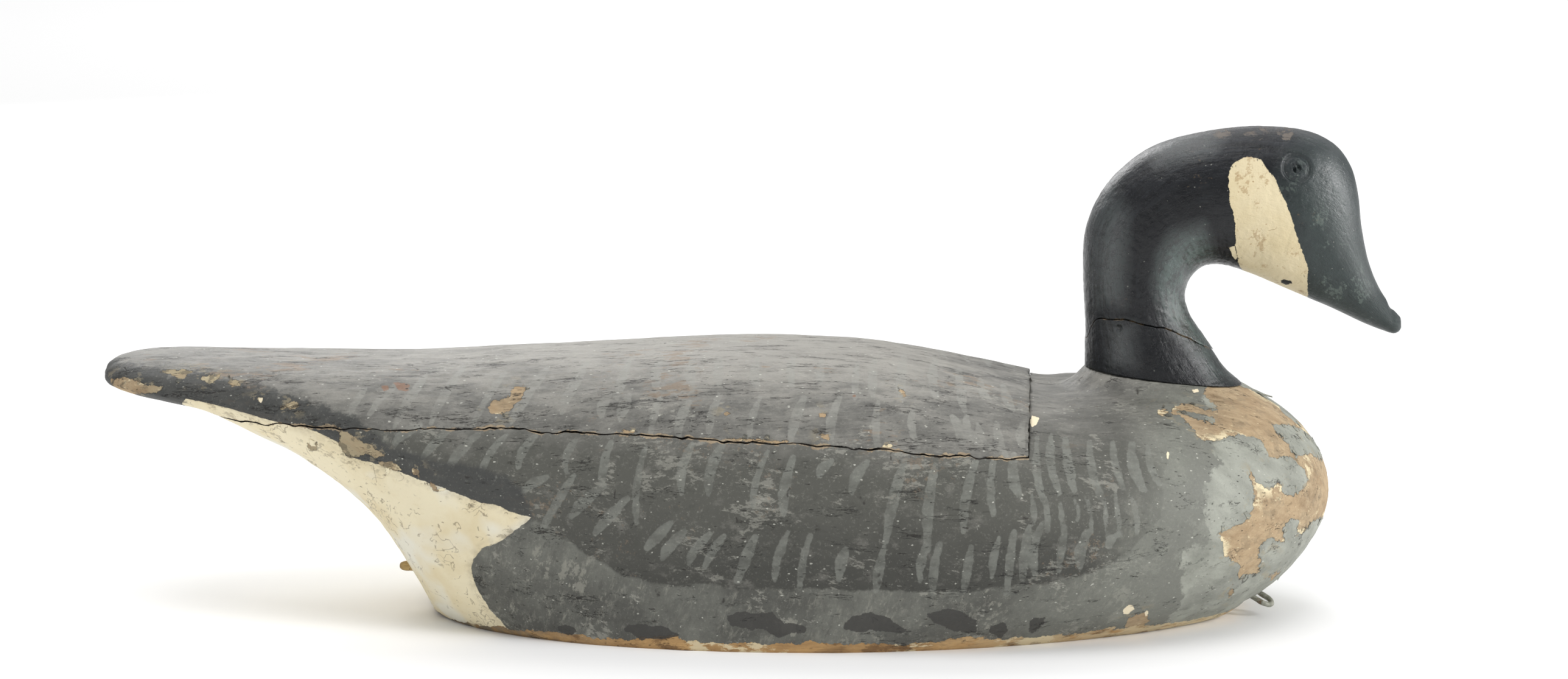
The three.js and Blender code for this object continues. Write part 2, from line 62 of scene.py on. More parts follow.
def toPhoto(points):
    eye = np.array([photoView["cameraX"], photoView["cameraY"], photoView["cameraZ"]], float)
    forward = np.array([0, -eye[1], photoView["aimZ"] - eye[2]])
    forward /= np.linalg.norm(forward)
    right = np.array([1.0, 0, 0])
    up = np.cross(right, forward)
    offset = points - eye
    zoom = photoView["width"] * photoView["lens"] / photoView["sensor"] / (offset @ forward)
    across = photoView["width"] / 2 + zoom * (offset @ right)
    down = photoView["height"] / 2 - zoom * (offset @ up)
    return np.stack([across, down], -1)


def nearSpots(points):
    # both sides are seen as if they were the near one, so that the paint is alike left and right
    mirrored = points.copy()
    mirrored[:, 1] = -np.abs(mirrored[:, 1])
    return toPhoto(mirrored)


# Curves and noise
def smoothStep(low, high, value):
    t = np.clip((value - low) / (high - low), 0, 1)
    return t * t * (3 - 2 * t)


def roundOff(share, power):
    return (1 - np.clip(share, 0, 1) ** power) ** (1 / power)


def smoothThrough(points):
    places, values = np.array(points, float).T
    rise = np.diff(values) / np.diff(places)
    slope = np.concatenate([[rise[0]], np.zeros(len(rise) - 1), [rise[-1]]])
    for i in range(1, len(rise)):
        product = rise[i - 1] * rise[i]
        if product > 0:
            slope[i] = 2 * product / (rise[i - 1] + rise[i])

    def curve(place):
        i = np.clip(np.searchsorted(places, place, side="right") - 1, 0, len(rise) - 1)
        width = places[i + 1] - places[i]
        t = np.clip((place - places[i]) / width, 0, 1)
        start = (1 + 2 * t) * (1 - t) ** 2 * values[i] + t * (1 - t) ** 2 * width * slope[i]
        return start + t * t * (3 - 2 * t) * values[i + 1] + t * t * (t - 1) * width * slope[i + 1]

    return curve


def hashed(x, y, z, seed):
    mixed = (x * 374761393 + y * 668265263 + z * 1440662683 + seed * 974711) & 0xFFFFFFFF
    mixed = ((mixed ^ (mixed >> 13)) * 1274126177) & 0xFFFFFFFF
    return ((mixed ^ (mixed >> 16)) & 0xFFFF) / 32767.5 - 1


def noiseAt(points, size, seed):
    # smooth noise from -1 to 1, with one size or a size for each direction
    scaled = points / np.array(size, float)
    cell = np.floor(scaled).astype(np.int64)
    t = scaled - cell
    t = t * t * (3 - 2 * t)
    total = np.zeros(len(points))
    for corner in np.ndindex(2, 2, 2):
        weight = np.prod(np.where(corner, t, 1 - t), axis=1)
        total += weight * hashed(*(cell + corner).T, seed)
    return total


def lineNoise(x, size, seed):
    points = np.stack([x, np.zeros_like(x), np.zeros_like(x)], -1)
    return noiseAt(points, size, seed)


def insideBy(spots, outline):
    # how many millimetres inside an outline each spot lies; negative outside
    corners = np.array(outline, float)
    nearest = np.full(len(spots), 1e9)
    inside = np.zeros(len(spots), bool)
    for a, b in zip(corners, np.roll(corners, -1, axis=0)):
        edge = b - a
        t = np.clip(((spots - a) @ edge) / (edge @ edge), 0, 1)
        nearest = np.minimum(nearest, np.linalg.norm(spots - a - t[:, None] * edge, axis=1))
        crossing = (a[1] > spots[:, 1]) != (b[1] > spots[:, 1])
        rise = b[1] - a[1] if b[1] != a[1] else 1.0
        inside ^= crossing & (spots[:, 0] < a[0] + edge[0] * (spots[:, 1] - a[1]) / rise)
    return np.where(inside, nearest, -nearest) * photoView["mmPerPixel"]


def insideAny(spots, outlines):
    return np.max([insideBy(spots, outline) for outline in outlines], axis=0)


# Meshes
def putInScene(name, data):
    thing = bpy.data.objects.new(name, data)
    bpy.context.scene.collection.objects.link(thing)
    return thing


def setFields(mesh, fields):
    for name, values in fields.items():
        attribute = mesh.attributes.get(name) or mesh.attributes.new(name, "FLOAT", "POINT")
        attribute.data.foreach_set("value", values.astype(np.float32))


def makePiece(name, points, faces, fields):
    mesh = bpy.data.meshes.new(name)
    mesh.from_pydata((points * 0.001).tolist(), [], faces)
    setFields(mesh, fields)
    work = bmesh.new()
    work.from_mesh(mesh)
    bmesh.ops.remove_doubles(work, verts=work.verts, dist=2e-6)
    bmesh.ops.dissolve_degenerate(work, edges=work.edges, dist=1e-7)
    if work.calc_volume(signed=True) < 0:
        bmesh.ops.reverse_faces(work, faces=work.faces)
    work.to_mesh(mesh)
    work.free()
    mesh.shade_smooth()
    return putInScene(name, mesh)


def readOut(items, title, width):
    flat = np.zeros(len(items) * width)
    items.foreach_get(title, flat)
    return flat.reshape(-1, width)


def pointsOf(piece):
    return readOut(piece.data.vertices, "co", 3) * 1000


def normalsOf(piece):
    return readOut(piece.data.vertex_normals, "vector", 3)


def fieldOf(piece, name):
    return readOut(piece.data.attributes[name].data, "value", 1)[:, 0]


def movePoints(piece, points):
    piece.data.vertices.foreach_set("co", (points * 0.001).ravel())
    piece.data.update()


def gridFaces(index):
    # quads between the rows of a table of point numbers
    a, b, c, d = index[:-1, :-1], index[1:, :-1], index[1:, 1:], index[:-1, 1:]
    return np.stack([a, b, c, d], -1).reshape(-1, 4).tolist()


def ringsToPiece(name, rings, ends, fields):
    # a closed tube of rings, with a point at each end; the fields are worked out from its points
    width = len(rings[0])
    index = np.arange(len(rings) * width).reshape(-1, width)
    index = np.concatenate([index, index[:, :1]], axis=1)
    faces = gridFaces(index)
    first = len(rings) * width
    for k in range(width):
        faces.append([first, index[0, k], index[0, k + 1]])
        faces.append([first + 1, index[-1, k + 1], index[-1, k]])
    points = np.concatenate([np.array(rings).reshape(-1, 3), ends])
    return makePiece(name, points, faces, fields(points))


# The body's form, the same as that of the solids
blockLow, blockHigh = [np.array(corner) * 1000 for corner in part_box("body_block")]
boardLow, boardHigh = [np.array(corner) * 1000 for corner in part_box("back_board")]
bodyForm = {
    "tailTipX": boardLow[0],
    "breastTipX": blockHigh[0],
    "height": boardHigh[2],
    "halfWidth": -blockLow[1],
    "baseLength": 488,
    "baseWidth": 242,
    "tailTipHeight": 143,
    "breastTipHeight": 72,
    "jointHeight": 125.3,
    "jointCrest": 221,
    "jointRadius": 5300,
    "buttSetback": 33.2,
    "buttSkew": 0.068,
    "buttLeanReach": 80,
    "boardStep": 2.2,
    "boardStepRun": 25,
    "stepBlend": 12,
    "neckSetback": 101,
    "seatSlope": -0.116,
    "collarHeight": 4.2,
    "collarSpread": 17,
    "tailRoundShare": 0.075,
    "breastTopShare": 0.9015,
    "breastUnderLead": 16.2,
    "widestShare": 0.7,
    "baseMiddleShare": 0.58,
    "back": smoothThrough([
        (0, 0.969), (0.075, 0.967), (0.164, 0.956), (0.212, 0.953), (0.262, 0.957), (0.331, 0.97),
        (0.45, 0.991), (0.525, 1), (0.609, 0.985), (0.656, 0.957), (0.715, 0.9), (0.751, 0.863),
        (0.782, 0.84), (0.82, 0.849), (0.864, 0.853), (0.9015, 0.845), (1, 0.83)]),
    "keel": smoothThrough([
        (0, 0.825), (0.139, 0.806), (0.278, 0.778), (0.33, 0.759), (0.36, 0.742), (0.491, 0.656),
        (0.585, 0.6), (0.671, 0.528), (0.761, 0.442), (0.848, 0.33), (0.912, 0.207), (0.977, 0.06),
        (1, 0)]),
    "widest": smoothThrough([
        (0, 0.876), (0.041, 0.866), (0.095, 0.84), (0.149, 0.805), (0.203, 0.749), (0.257, 0.682),
        (0.311, 0.611), (0.378, 0.55), (0.446, 0.509), (0.554, 0.477), (0.7, 0.463), (0.85, 0.451),
        (1, 0.446)]),
    "width": smoothThrough([
        (0, 0.33), (0.048, 0.352), (0.095, 0.402), (0.149, 0.49), (0.195, 0.568), (0.245, 0.642),
        (0.32, 0.728), (0.369, 0.776), (0.431, 0.836), (0.493, 0.891), (0.554, 0.935), (0.606, 0.967),
        (0.653, 0.989), (0.7, 1)]),
    "fullness": smoothThrough([(0, 2.2), (0.15, 2.1), (0.3, 2.15), (0.5, 2.45), (0.75, 2.4), (1, 2.1)]),
}
tailTipX = bodyForm["tailTipX"]
breastTipX = bodyForm["breastTipX"]
bodyLength = breastTipX - tailTipX
halfBase = bodyForm["baseLength"] / 2
neckX = breastTipX - bodyForm["neckSetback"]

# The head and neck, the same as those of the solids
headForm = {
    "height": 150,
    "width": 59,
    "power": 2.15,
    "clearance": 0.3,
    "stations": np.array([
        [-0.315, 0.315 * 0.116, 0.317, -0.317 * 0.116, 1.04],
        [-0.315, 0.1, 0.247, 0.03, 1],
        [-0.316, 0.2, 0.163, 0.155, 0.93],
        [-0.323, 0.3, 0.107, 0.24, 0.885],
        [-0.328, 0.41, 0.083, 0.31, 0.875],
        [-0.328, 0.52, 0.089, 0.365, 0.885],
        [-0.313, 0.615, 0.107, 0.402, 0.9],
        [-0.274, 0.71, 0.13, 0.428, 0.92],
        [-0.2, 0.81, 0.157, 0.443, 0.94],
        [-0.086, 0.902, 0.189, 0.449, 0.96],
        [0.046, 0.958, 0.228, 0.446, 0.975],
        [0.203, 0.987, 0.284, 0.432, 0.99],
        [0.38, 1, 0.365, 0.401, 1],
        [0.549, 0.984, 0.446, 0.366, 0.985],
        [0.664, 0.93, 0.527, 0.331, 0.93],
        [0.73, 0.847, 0.598, 0.3, 0.85],
        [0.762, 0.742, 0.664, 0.273, 0.745],
        [0.779, 0.61, 0.73, 0.242, 0.63],
        [0.81, 0.47, 0.795, 0.211, 0.515],
        [0.855, 0.36, 0.856, 0.186, 0.415],
        [0.914, 0.27, 0.905, 0.168, 0.34]]),
    "billTip": (0.954, 0.203),
    "seam": [
        (-0.45, 0.1), (-0.317, 0.147), (-0.29, 0.226), (-0.265, 0.247), (-0.18, 0.25), (-0.08, 0.229),
        (-0.02, 0.217), (0.04, 0.19), (0.1, 0.161), (0.186, 0.109), (0.3, 0.05)],
}
neckHeel = neckX + headForm["stations"][0][0] * headForm["height"]
buttX = neckHeel - bodyForm["buttSetback"]


def jointAt(x):
    fromCrest = x - tailTipX - bodyForm["jointCrest"]
    return bodyForm["jointHeight"] - fromCrest ** 2 / (2 * bodyForm["jointRadius"])


def baseHalfAt(x):
    middle = tailTipX + bodyForm["baseMiddleShare"] * bodyLength
    behind = roundOff((middle - x) / (middle + halfBase), 2.1)
    ahead = roundOff((x - middle) / (halfBase - middle), 1.8)
    return bodyForm["baseWidth"] / 2 * np.where(x < middle, behind, ahead)


def bodyAt(x):
    share = (x - tailTipX) / bodyLength
    breastRun = halfBase - bodyForm["breastUnderLead"]
    tail = 1 - share / bodyForm["tailRoundShare"]
    top = (share - bodyForm["breastTopShare"]) / (1 - bodyForm["breastTopShare"])
    under = (x - breastRun) / (breastTipX - breastRun)
    plan = (share - bodyForm["widestShare"]) / (1 - bodyForm["widestShare"])
    ahead = share > 0.5
    tip = np.where(ahead, bodyForm["breastTipHeight"], bodyForm["tailTipHeight"])
    keel = np.where(ahead, 0, bodyForm["keel"]((x - tailTipX) / (-halfBase - tailTipX)) * bodyForm["height"])
    topRound = np.where(ahead, roundOff(top, 1.95), roundOff(tail, 3))
    underRound = np.where(ahead, roundOff(under, 1.6), roundOff(tail, 2.5))
    planRound = np.where(ahead, roundOff(plan, 2.05), roundOff(tail, 2.5))
    return {
        "top": tip + (bodyForm["back"](share) * bodyForm["height"] - tip) * topRound,
        "keel": tip + (keel - tip) * underRound,
        "widest": tip + (bodyForm["widest"](share) * bodyForm["height"] - tip) * topRound,
        "half": bodyForm["halfWidth"] * bodyForm["width"](share) * planRound,
        "fullness": bodyForm["fullness"](share),
        "base": baseHalfAt(x),
    }


def skinAt(x, q):
    # a point of one half of the section: q is -1 at the base edge, 0 at the widest line, 1 at the top
    s = bodyAt(x)
    low = np.clip(q + 1, 0, 1) * math.pi / 2
    high = np.clip(q, 0, 1) * math.pi / 2
    power = 0.5 + 0.5 * np.minimum(1, s["base"] / np.maximum(s["half"], 1))
    lowY = s["base"] + (s["half"] - s["base"]) * np.sin(low) ** (2 * power)
    lowZ = s["widest"] - (s["widest"] - s["keel"]) * np.cos(low)
    highY = s["half"] * np.clip(np.cos(high), 0, 1) ** (2 / s["fullness"])
    highZ = s["widest"] + (s["top"] - s["widest"]) * np.sin(high) ** (2 / s["fullness"])
    return np.where(q < 0, lowY, highY), np.where(q < 0, lowZ, highZ)


def sidePoints(x, q, side):
    # points of one side of the skin, on rings that lean with the butt joint where they are near it
    lean = bodyForm["buttSkew"] * (1 - smoothStep(0, bodyForm["buttLeanReach"], np.abs(x - buttX)))
    y, z = skinAt(x, q)
    leaning = np.clip(x + lean * side * y, tailTipX, breastTipX)
    y, z = skinAt(leaning, q)
    past = leaning - buttX - bodyForm["buttSkew"] * side * y
    drop = bodyForm["boardStep"] * (1 - smoothStep(0, bodyForm["boardStepRun"], past))
    drop = drop * smoothStep(0, bodyForm["stepBlend"], z - jointAt(leaning)) * (past > 0)
    return np.stack([leaning, side * y, z - drop], -1)


# The seam between the block and the board, and the butt joint
seamShape = {
    "halfGap": 0.14,
    "gapVaries": 0.7,
    "wander": 1.1,
    "wanderSize": 46,
    "jag": 0.8,
    "jagSize": 9,
    "fineJagSize": 3.4,
    "straightRun": 12,
    "tailGap": 0.3,
    "tailOpens": -385,
    "tailReach": 60,
    "buttHalfGap": 0.2,
    "buttJag": 0.55,
    "buttWave": 0.35,
    "buttFade": 7,
    "edgeRound": 0.2,
}


def seamHeight(x, side):
    wander = seamShape["wander"] * lineNoise(x + 900 * side, seamShape["wanderSize"], 5)
    fine = 0.6 * lineNoise(x + 300 * side, seamShape["fineJagSize"], 7)
    jag = seamShape["jag"] * (lineNoise(x + 500 * side, seamShape["jagSize"], 6) + fine)
    fade = 1 - smoothStep(buttX - seamShape["straightRun"], buttX, x)
    return jointAt(x) + (wander + jag) * fade


def seamHalfGap(x, side):
    opened = seamShape["tailGap"] * (1 - smoothStep(0, seamShape["tailReach"], x - seamShape["tailOpens"]))
    varied = seamShape["halfGap"] * (1 + seamShape["gapVaries"] * lineNoise(x + 700 * side, 14, 8))
    return varied + opened


lowTurn, highTurn = [np.linspace(0, math.pi / 2, steps) for steps in (110, 150)]
denseQ = np.concatenate([-np.cos(lowTurn), np.sin(highTurn)[1:]])


def alongSection(x, side):
    # the section's points at the dense steps, with the length along it
    points = sidePoints(x[:, None], denseQ[None, :], side)
    steps = np.linalg.norm(np.diff(points[:, :, 1:], axis=1), axis=2)
    length = np.concatenate([np.zeros((len(x), 1)), np.cumsum(steps, axis=1)], axis=1)
    return points, length


def seamLength(x, side, offset):
    # how far along the section the seam lies, measured from the base edge
    points, length = alongSection(x, side)
    above = points[:, :, 2] - (seamHeight(x, side) + offset)[:, None]
    return np.array([np.interp(0, above[i], length[i]) for i in range(len(x))]), length


def rowsBetween(x, side, start, end, shares, length, settled=None):
    # rows of points at shares of the way along the section from one length to another;
    # settled rows stay where they would be from zero, except close to the start
    first, last = start[:, None], end[:, None]
    wanted = first + (last - first) * shares
    if settled is not None:
        joined = ((last * shares) ** 3 + first ** 3) ** (1 / 3)
        joined *= 1 + (last / joined[:, -1:] - 1) * shares
        wanted += settled[:, None] * (joined - wanted)
    q = np.array([np.interp(wanted[i], length[i], denseQ) for i in range(len(x))])
    points = sidePoints(x[:, None], q, side)
    return points, wanted


def stationsBetween(low, high, spacing, pinched):
    # places along the body, closer together where it rounds off towards a tip
    fine = np.linspace(0, 1, 6000)
    fine = low + (high - low) * (0.5 - 0.5 * np.cos(math.pi * fine) if pinched else fine)
    s = bodyAt(fine)
    steps = np.sqrt(np.diff(fine) ** 2 + np.maximum(np.diff(s["top"]) ** 2, np.diff(s["half"]) ** 2))
    length = np.concatenate([[0], np.cumsum(steps)])
    return np.interp(np.linspace(0, length[-1], int(length[-1] / spacing) + 1), length, fine)


boardMesh = {"spacing": 1.6, "rows": 92, "crowding": 1.35, "settling": 0.8, "settled": -372, "free": -325}
blockMesh = {"spacing": 1.75, "sideRows": 82, "baseRows": 6, "shoulderRows": 70, "crowding": 1.25}


def fromButt(points):
    return np.abs(points[:, 0] - buttX - bodyForm["buttSkew"] * points[:, 1])


def buttWander(points):
    # the broken line of the butt joint, shared by the board's end and the block's face
    shift = seamShape["buttJag"] * (noiseAt(points, 9, 21) + 0.7 * noiseAt(points, 3.2, 22))
    shift += seamShape["buttWave"] * np.sin(points[:, 1] / 5)
    moved = points.copy()
    above = points[:, 2] > jointAt(points[:, 0]) + 0.5
    moved[:, 0] += shift * (1 - smoothStep(0, seamShape["buttFade"], fromButt(points))) * above
    return moved


def buildBoard():
    x = stationsBetween(tailTipX + 0.02, buttX - seamShape["buttHalfGap"], boardMesh["spacing"], True)
    shares = np.linspace(0, 1, boardMesh["rows"] + 1) ** boardMesh["crowding"]
    sides = []
    edge = []
    for side in (-1, 1):
        start, length = seamLength(x, side, seamHalfGap(x, side))
        settled = boardMesh["settling"] * (1 - smoothStep(boardMesh["settled"], boardMesh["free"], x))
        points, wanted = rowsBetween(x, side, start, length[:, -1], shares, length, settled)
        sides.append(points)
        edge.append(wanted - start[:, None])
    rings = np.concatenate([sides[0], sides[1][:, -2::-1]], axis=1)
    fromSeam = np.concatenate([edge[0], edge[1][:, -2::-1]], axis=1)
    whole = np.abs(rings[:, 0, 1]) < 0.05
    fromSeam[whole] = 99
    count, width = rings.shape[:2]
    index = np.arange(count * width).reshape(count, width)
    faces = gridFaces(index)
    for i in range(count - 1):
        faces.append([index[i, -1], index[i + 1, -1], index[i + 1, 0], index[i, 0]])
    pole = count * width
    for k in range(width):
        faces.append([pole, index[0, k], index[0, (k + 1) % width]])
    faces.append(index[-1, ::-1].tolist())
    points = np.concatenate([rings.reshape(-1, 3), [[tailTipX, 0, bodyForm["tailTipHeight"]]]])
    fromSeam = np.append(fromSeam.ravel(), 99)
    return makePiece("backBoardCarved", buttWander(points), faces, {"fromSeam": fromSeam})


def buildBlock():
    probe = np.linspace(tailTipX + 10, 0, 3000)
    opens = skinAt(probe, np.full_like(probe, -1.0))[1] < seamHeight(probe, 1) - seamHalfGap(probe, 1)
    start = probe[np.argmax(opens)] - 0.5
    behind = stationsBetween(start, buttX + seamShape["buttHalfGap"], blockMesh["spacing"], False)
    ahead = stationsBetween(buttX + seamShape["buttHalfGap"], breastTipX - 0.02, blockMesh["spacing"], True)
    x = np.concatenate([behind, ahead[1:]])
    butt = len(behind) - 1
    sideShares = 1 - np.linspace(1, 0, blockMesh["sideRows"] + 1) ** blockMesh["crowding"]
    shoulderShares = np.linspace(0, 1, blockMesh["shoulderRows"] + 1)
    lower, upper, edge = [], [], []
    for side in (-1, 1):
        seam, length = seamLength(x, side, -seamHalfGap(x, side))
        seam[butt:] = seam[butt] / length[butt, -1] * length[butt:, -1]
        low, wanted = rowsBetween(x, side, np.zeros(len(x)), seam, sideShares, length)
        high, _ = rowsBetween(x, side, seam, length[:, -1], shoulderShares, length)
        lower.append(low)
        upper.append(high)
        edge.append(seam[:, None] - wanted)
    # the rows run from the left-hand seam down, across the underside and up to the right-hand seam
    acrossShares = np.linspace(1, -1, 2 * blockMesh["baseRows"] + 1)[1:-1]
    left = lower[1][:, ::-1]
    right = lower[0]
    baseY = left[:, -1, 1]
    floor = np.stack([
        np.repeat(left[:, -1:, 0], len(acrossShares), axis=1),
        baseY[:, None] * acrossShares[None, :],
        np.repeat(left[:, -1:, 2], len(acrossShares), axis=1)], -1)
    floor[:, :, 0] = left[:, -1:, 0] + (right[:, :1, 0] - left[:, -1:, 0]) * (1 - acrossShares) / 2
    rings = np.concatenate([left, floor, right], axis=1)
    floorEdge = np.full(floor.shape[:2], 99.0)
    fromSeam = np.concatenate([edge[1][:, ::-1], floorEdge, edge[0]], axis=1)
    shoulder = np.concatenate([upper[0][butt:, 1:], upper[1][butt:, -2:0:-1]], axis=1)
    count, width = rings.shape[:2]
    index = np.arange(count * width).reshape(count, width)
    over = count * width + np.arange(shoulder.shape[0] * shoulder.shape[1]).reshape(shoulder.shape[:2])
    over = np.concatenate([index[butt:, -1:], over, index[butt:, :1]], axis=1)
    faces = gridFaces(index) + gridFaces(over)
    for i in range(butt):
        faces.append([index[i, -1], index[i + 1, -1], index[i + 1, 0], index[i, 0]])
    faces.append(over[0].tolist())
    pole = count * width + shoulder.shape[0] * shoulder.shape[1]
    lastRing = np.concatenate([index[-1], over[-1, 1:-1]])
    for k in range(len(lastRing)):
        faces.append([pole, lastRing[(k + 1) % len(lastRing)], lastRing[k]])
    points = np.concatenate([
        rings.reshape(-1, 3), shoulder.reshape(-1, 3), [[breastTipX, 0, bodyForm["breastTipHeight"]]]])
    aheadOfButt = np.full(shoulder.shape[0] * shoulder.shape[1] + 1, 99.0)
    fromSeam[butt + 1:] = 99
    fields = {"fromSeam": np.concatenate([fromSeam.ravel(), aheadOfButt])}
    return makePiece("bodyBlockCarved", raiseCollar(buttWander(points)), faces, fields)


def seatAt(x):
    middle = bodyForm["back"]((neckX - tailTipX) / bodyLength) * bodyForm["height"] + bodyForm["collarHeight"]
    return middle + bodyForm["seatSlope"] * (x - neckX)


def raiseCollar(points):
    backX, _, throatX, _, thick = headForm["stations"][0]
    middleX = neckX + (backX + throatX) / 2 * headForm["height"]
    along = (points[:, 0] - middleX) / ((throatX - backX) / 2 * headForm["height"])
    across = points[:, 1] / (thick * headForm["width"] / 2)
    power = headForm["power"]
    reach = (np.abs(along) ** power + np.abs(across) ** power) ** (1 / power)
    away = np.hypot(points[:, 0] - middleX, points[:, 1])
    outside = away * (1 - 1 / np.maximum(reach, 1))
    t = np.clip(outside / bodyForm["collarSpread"], 0, 1)
    upperSide = points[:, 2] > 0.45 * bodyForm["height"]
    lift = (seatAt(points[:, 0]) - points[:, 2]) * (1 - t) ** 2 * upperSide * (points[:, 0] > buttX)
    raised = points.copy()
    raised[:, 2] += lift
    return raised


headMesh = {"rows": 310, "columns": 200, "baseRows": 46, "eyeReach": 13.5, "capRows": 9, "sheetRows": 6}
neckJoint = {"headLift": 0.45, "headFlare": 0.25, "baseDrop": 0.25, "seatRows": 5}


def headRow(t):
    stations = headForm["stations"]
    last = len(stations) - 1
    i = np.clip(np.floor(t).astype(int), 0, last - 1)
    f = (t - i)[..., None]
    b, c = stations[i], stations[i + 1]
    a = np.where((i > 0)[..., None], stations[np.maximum(i - 1, 0)], 2 * b - c)
    d = np.where((i + 2 <= last)[..., None], stations[np.minimum(i + 2, last)], 2 * c - b)
    leave, arrive, rise = (c - a) / 2, (d - b) / 2, c - b
    return b + f * (leave + f * (3 * rise - 2 * leave - arrive + f * (leave + arrive - 2 * rise)))


def headPoints(t, angle):
    row = headRow(t)
    power = 2 / headForm["power"]
    along = np.sign(np.cos(angle)) * np.abs(np.cos(angle)) ** power
    across = np.sign(np.sin(angle)) * np.abs(np.sin(angle)) ** power
    x = (row[..., 0] + row[..., 2]) / 2 + (row[..., 0] - row[..., 2]) / 2 * along
    z = (row[..., 1] + row[..., 3]) / 2 + (row[..., 1] - row[..., 3]) / 2 * along
    y = -row[..., 4] * headForm["width"] * across / 2
    origin = np.array([neckX, 0, seatAt(neckX) + headForm["clearance"]])
    return origin + np.stack([x * headForm["height"], y, z * headForm["height"]], -1)


neckSeamCurve = smoothThrough(headForm["seam"])


def seamSheet(x, y):
    # the height of the seam through the neck, with its small wander
    share = (x - neckX) / headForm["height"]
    flat = np.stack([x, y, np.zeros_like(x)], -1).reshape(-1, 3)
    wander = 0.5 * noiseAt(flat, 7, 31) + 0.3 * noiseAt(flat, 2.6, 32)
    return seatAt(neckX) + neckSeamCurve(share) * headForm["height"] + wander.reshape(x.shape)


def neckSeamRows(angle):
    # the place between the head's rows where each column crosses the seam
    t = np.linspace(0.2, 6, 400)
    points = headPoints(t[:, None], angle[None, :])
    above = points[..., 2] - seamSheet(points[..., 0], points[..., 1])
    crossing = []
    for k in range(len(angle)):
        i = np.argmax(above[:, k] > 0)
        crossing.append(t[i - 1] + (t[i] - t[i - 1]) * above[i - 1, k] / (above[i - 1, k] - above[i, k]))
    return np.array(crossing)


def closeSheet(ring, count, inward, liftTo):
    # rings that shrink towards the middle of a cut face, following the seam
    centre = ring.mean(axis=0)
    rings = []
    for i in range(1, count):
        shrunk = centre + (ring - centre) * (1 - i / count)
        shrunk[:, 2] = liftTo(shrunk) + inward
        rings.append(shrunk)
    return rings, centre


def buildHeadAndNeck():
    angle = np.linspace(0, 2 * math.pi, headMesh["columns"], endpoint=False)
    seam = neckSeamRows(angle)
    last = len(headForm["stations"]) - 1
    fine = np.linspace(1.5, last, 2000)
    row = headRow(fine)
    middle = np.stack([row[:, 0] * 0.65 + row[:, 2] * 0.35, row[:, 1] * 0.65 + row[:, 3] * 0.35], -1)
    length = np.concatenate([[0], np.cumsum(np.linalg.norm(np.diff(middle, axis=0), axis=1))])
    even = np.interp(np.linspace(0, length[-1], headMesh["rows"]), length, fine)
    share = (even - fine[0]) / (last - fine[0])
    t = seam[None, :] + (last - seam)[None, :] * share[:, None]
    rings = headPoints(t, np.repeat(angle[None, :], len(t), axis=0))
    rings[:, :, 2] += neckJoint["headFlare"] * np.exp(-np.arange(len(t)) / 3)[:, None]
    end = rings[-1]
    tip = headPoints(np.array([float(last)]), np.array([0.0]))[0]
    tip[0] = neckX + headForm["billTip"][0] * headForm["height"]
    tip[2] = seatAt(neckX) + headForm["clearance"] + headForm["billTip"][1] * headForm["height"]
    centre = end.mean(axis=0)
    caps = []
    for i in range(1, headMesh["capRows"]):
        turn = math.pi / 2 * i / headMesh["capRows"]
        caps.append(centre + (end - centre) * math.cos(turn) ** 0.8 + (tip - centre) * math.sin(turn))
    lift = neckJoint["headLift"]
    under, bottom = closeSheet(rings[0], headMesh["sheetRows"], lift, lambda p: seamSheet(p[:, 0], p[:, 1]))
    bottom[2] = seamSheet(bottom[:1], bottom[1:2])[0] + lift
    allRings = np.concatenate([np.array(under[::-1]), rings, np.array(caps)])
    alongNeck = np.interp(share, np.linspace(0, 1, len(t)), np.linspace(0, length[-1], len(t)))
    along = np.concatenate([np.zeros(len(under)), alongNeck * headForm["height"],
                            np.full(len(caps), length[-1] * headForm["height"])])
    return ringsToPiece("headAndNeckCarved", allRings, [bottom, tip], lambda points: {
        "alongNeck": np.append(np.repeat(along, len(angle)), [0, along[-1]]),
        "aroundNeck": np.append(np.tile(angle, len(allRings)), [0, 0]),
    })


def buildNeckBase():
    angle = np.linspace(0, 2 * math.pi, headMesh["columns"], endpoint=False)
    seam = neckSeamRows(angle)
    share = np.linspace(0, 1, headMesh["baseRows"])
    t = seam[None, :] * share[:, None]
    rings = headPoints(t, np.repeat(angle[None, :], len(t), axis=0))
    drop = neckJoint["baseDrop"]
    rings[:, :, 2] -= drop * np.exp(-(len(t) - 1 - np.arange(len(t))) / 2)[:, None]
    over, top = closeSheet(rings[-1], headMesh["sheetRows"], -drop, lambda p: seamSheet(p[:, 0], p[:, 1]))
    top[2] = seamSheet(top[:1], top[1:2])[0] - drop
    floor = headForm["clearance"]
    under, bottom = closeSheet(rings[0], neckJoint["seatRows"], floor, lambda p: seatAt(p[:, 0]))
    bottom[2] = seatAt(bottom[0]) + floor
    allRings = np.concatenate([np.array(under[::-1]), rings, np.array(over)])
    rows = np.concatenate([np.zeros(len(under)), np.arange(len(rings)), np.full(len(over), len(rings) - 1)])
    return ringsToPiece("neckBaseCarved", allRings, [bottom, top], lambda points: {
        "alongNeck": np.append(np.repeat(rows, len(angle)), [0, 0]),
        "aroundNeck": np.append(np.tile(angle, len(allRings)), [0, 0]),
    })


print("building the board, the block, the neck base and the head")
board = buildBoard()
block = buildBlock()
head = buildHeadAndNeck()
neckBase = buildNeckBase()
for piece in (board, block, head, neckBase):
    print(piece.name, len(piece.data.vertices), "points", len(piece.data.polygons), "faces")

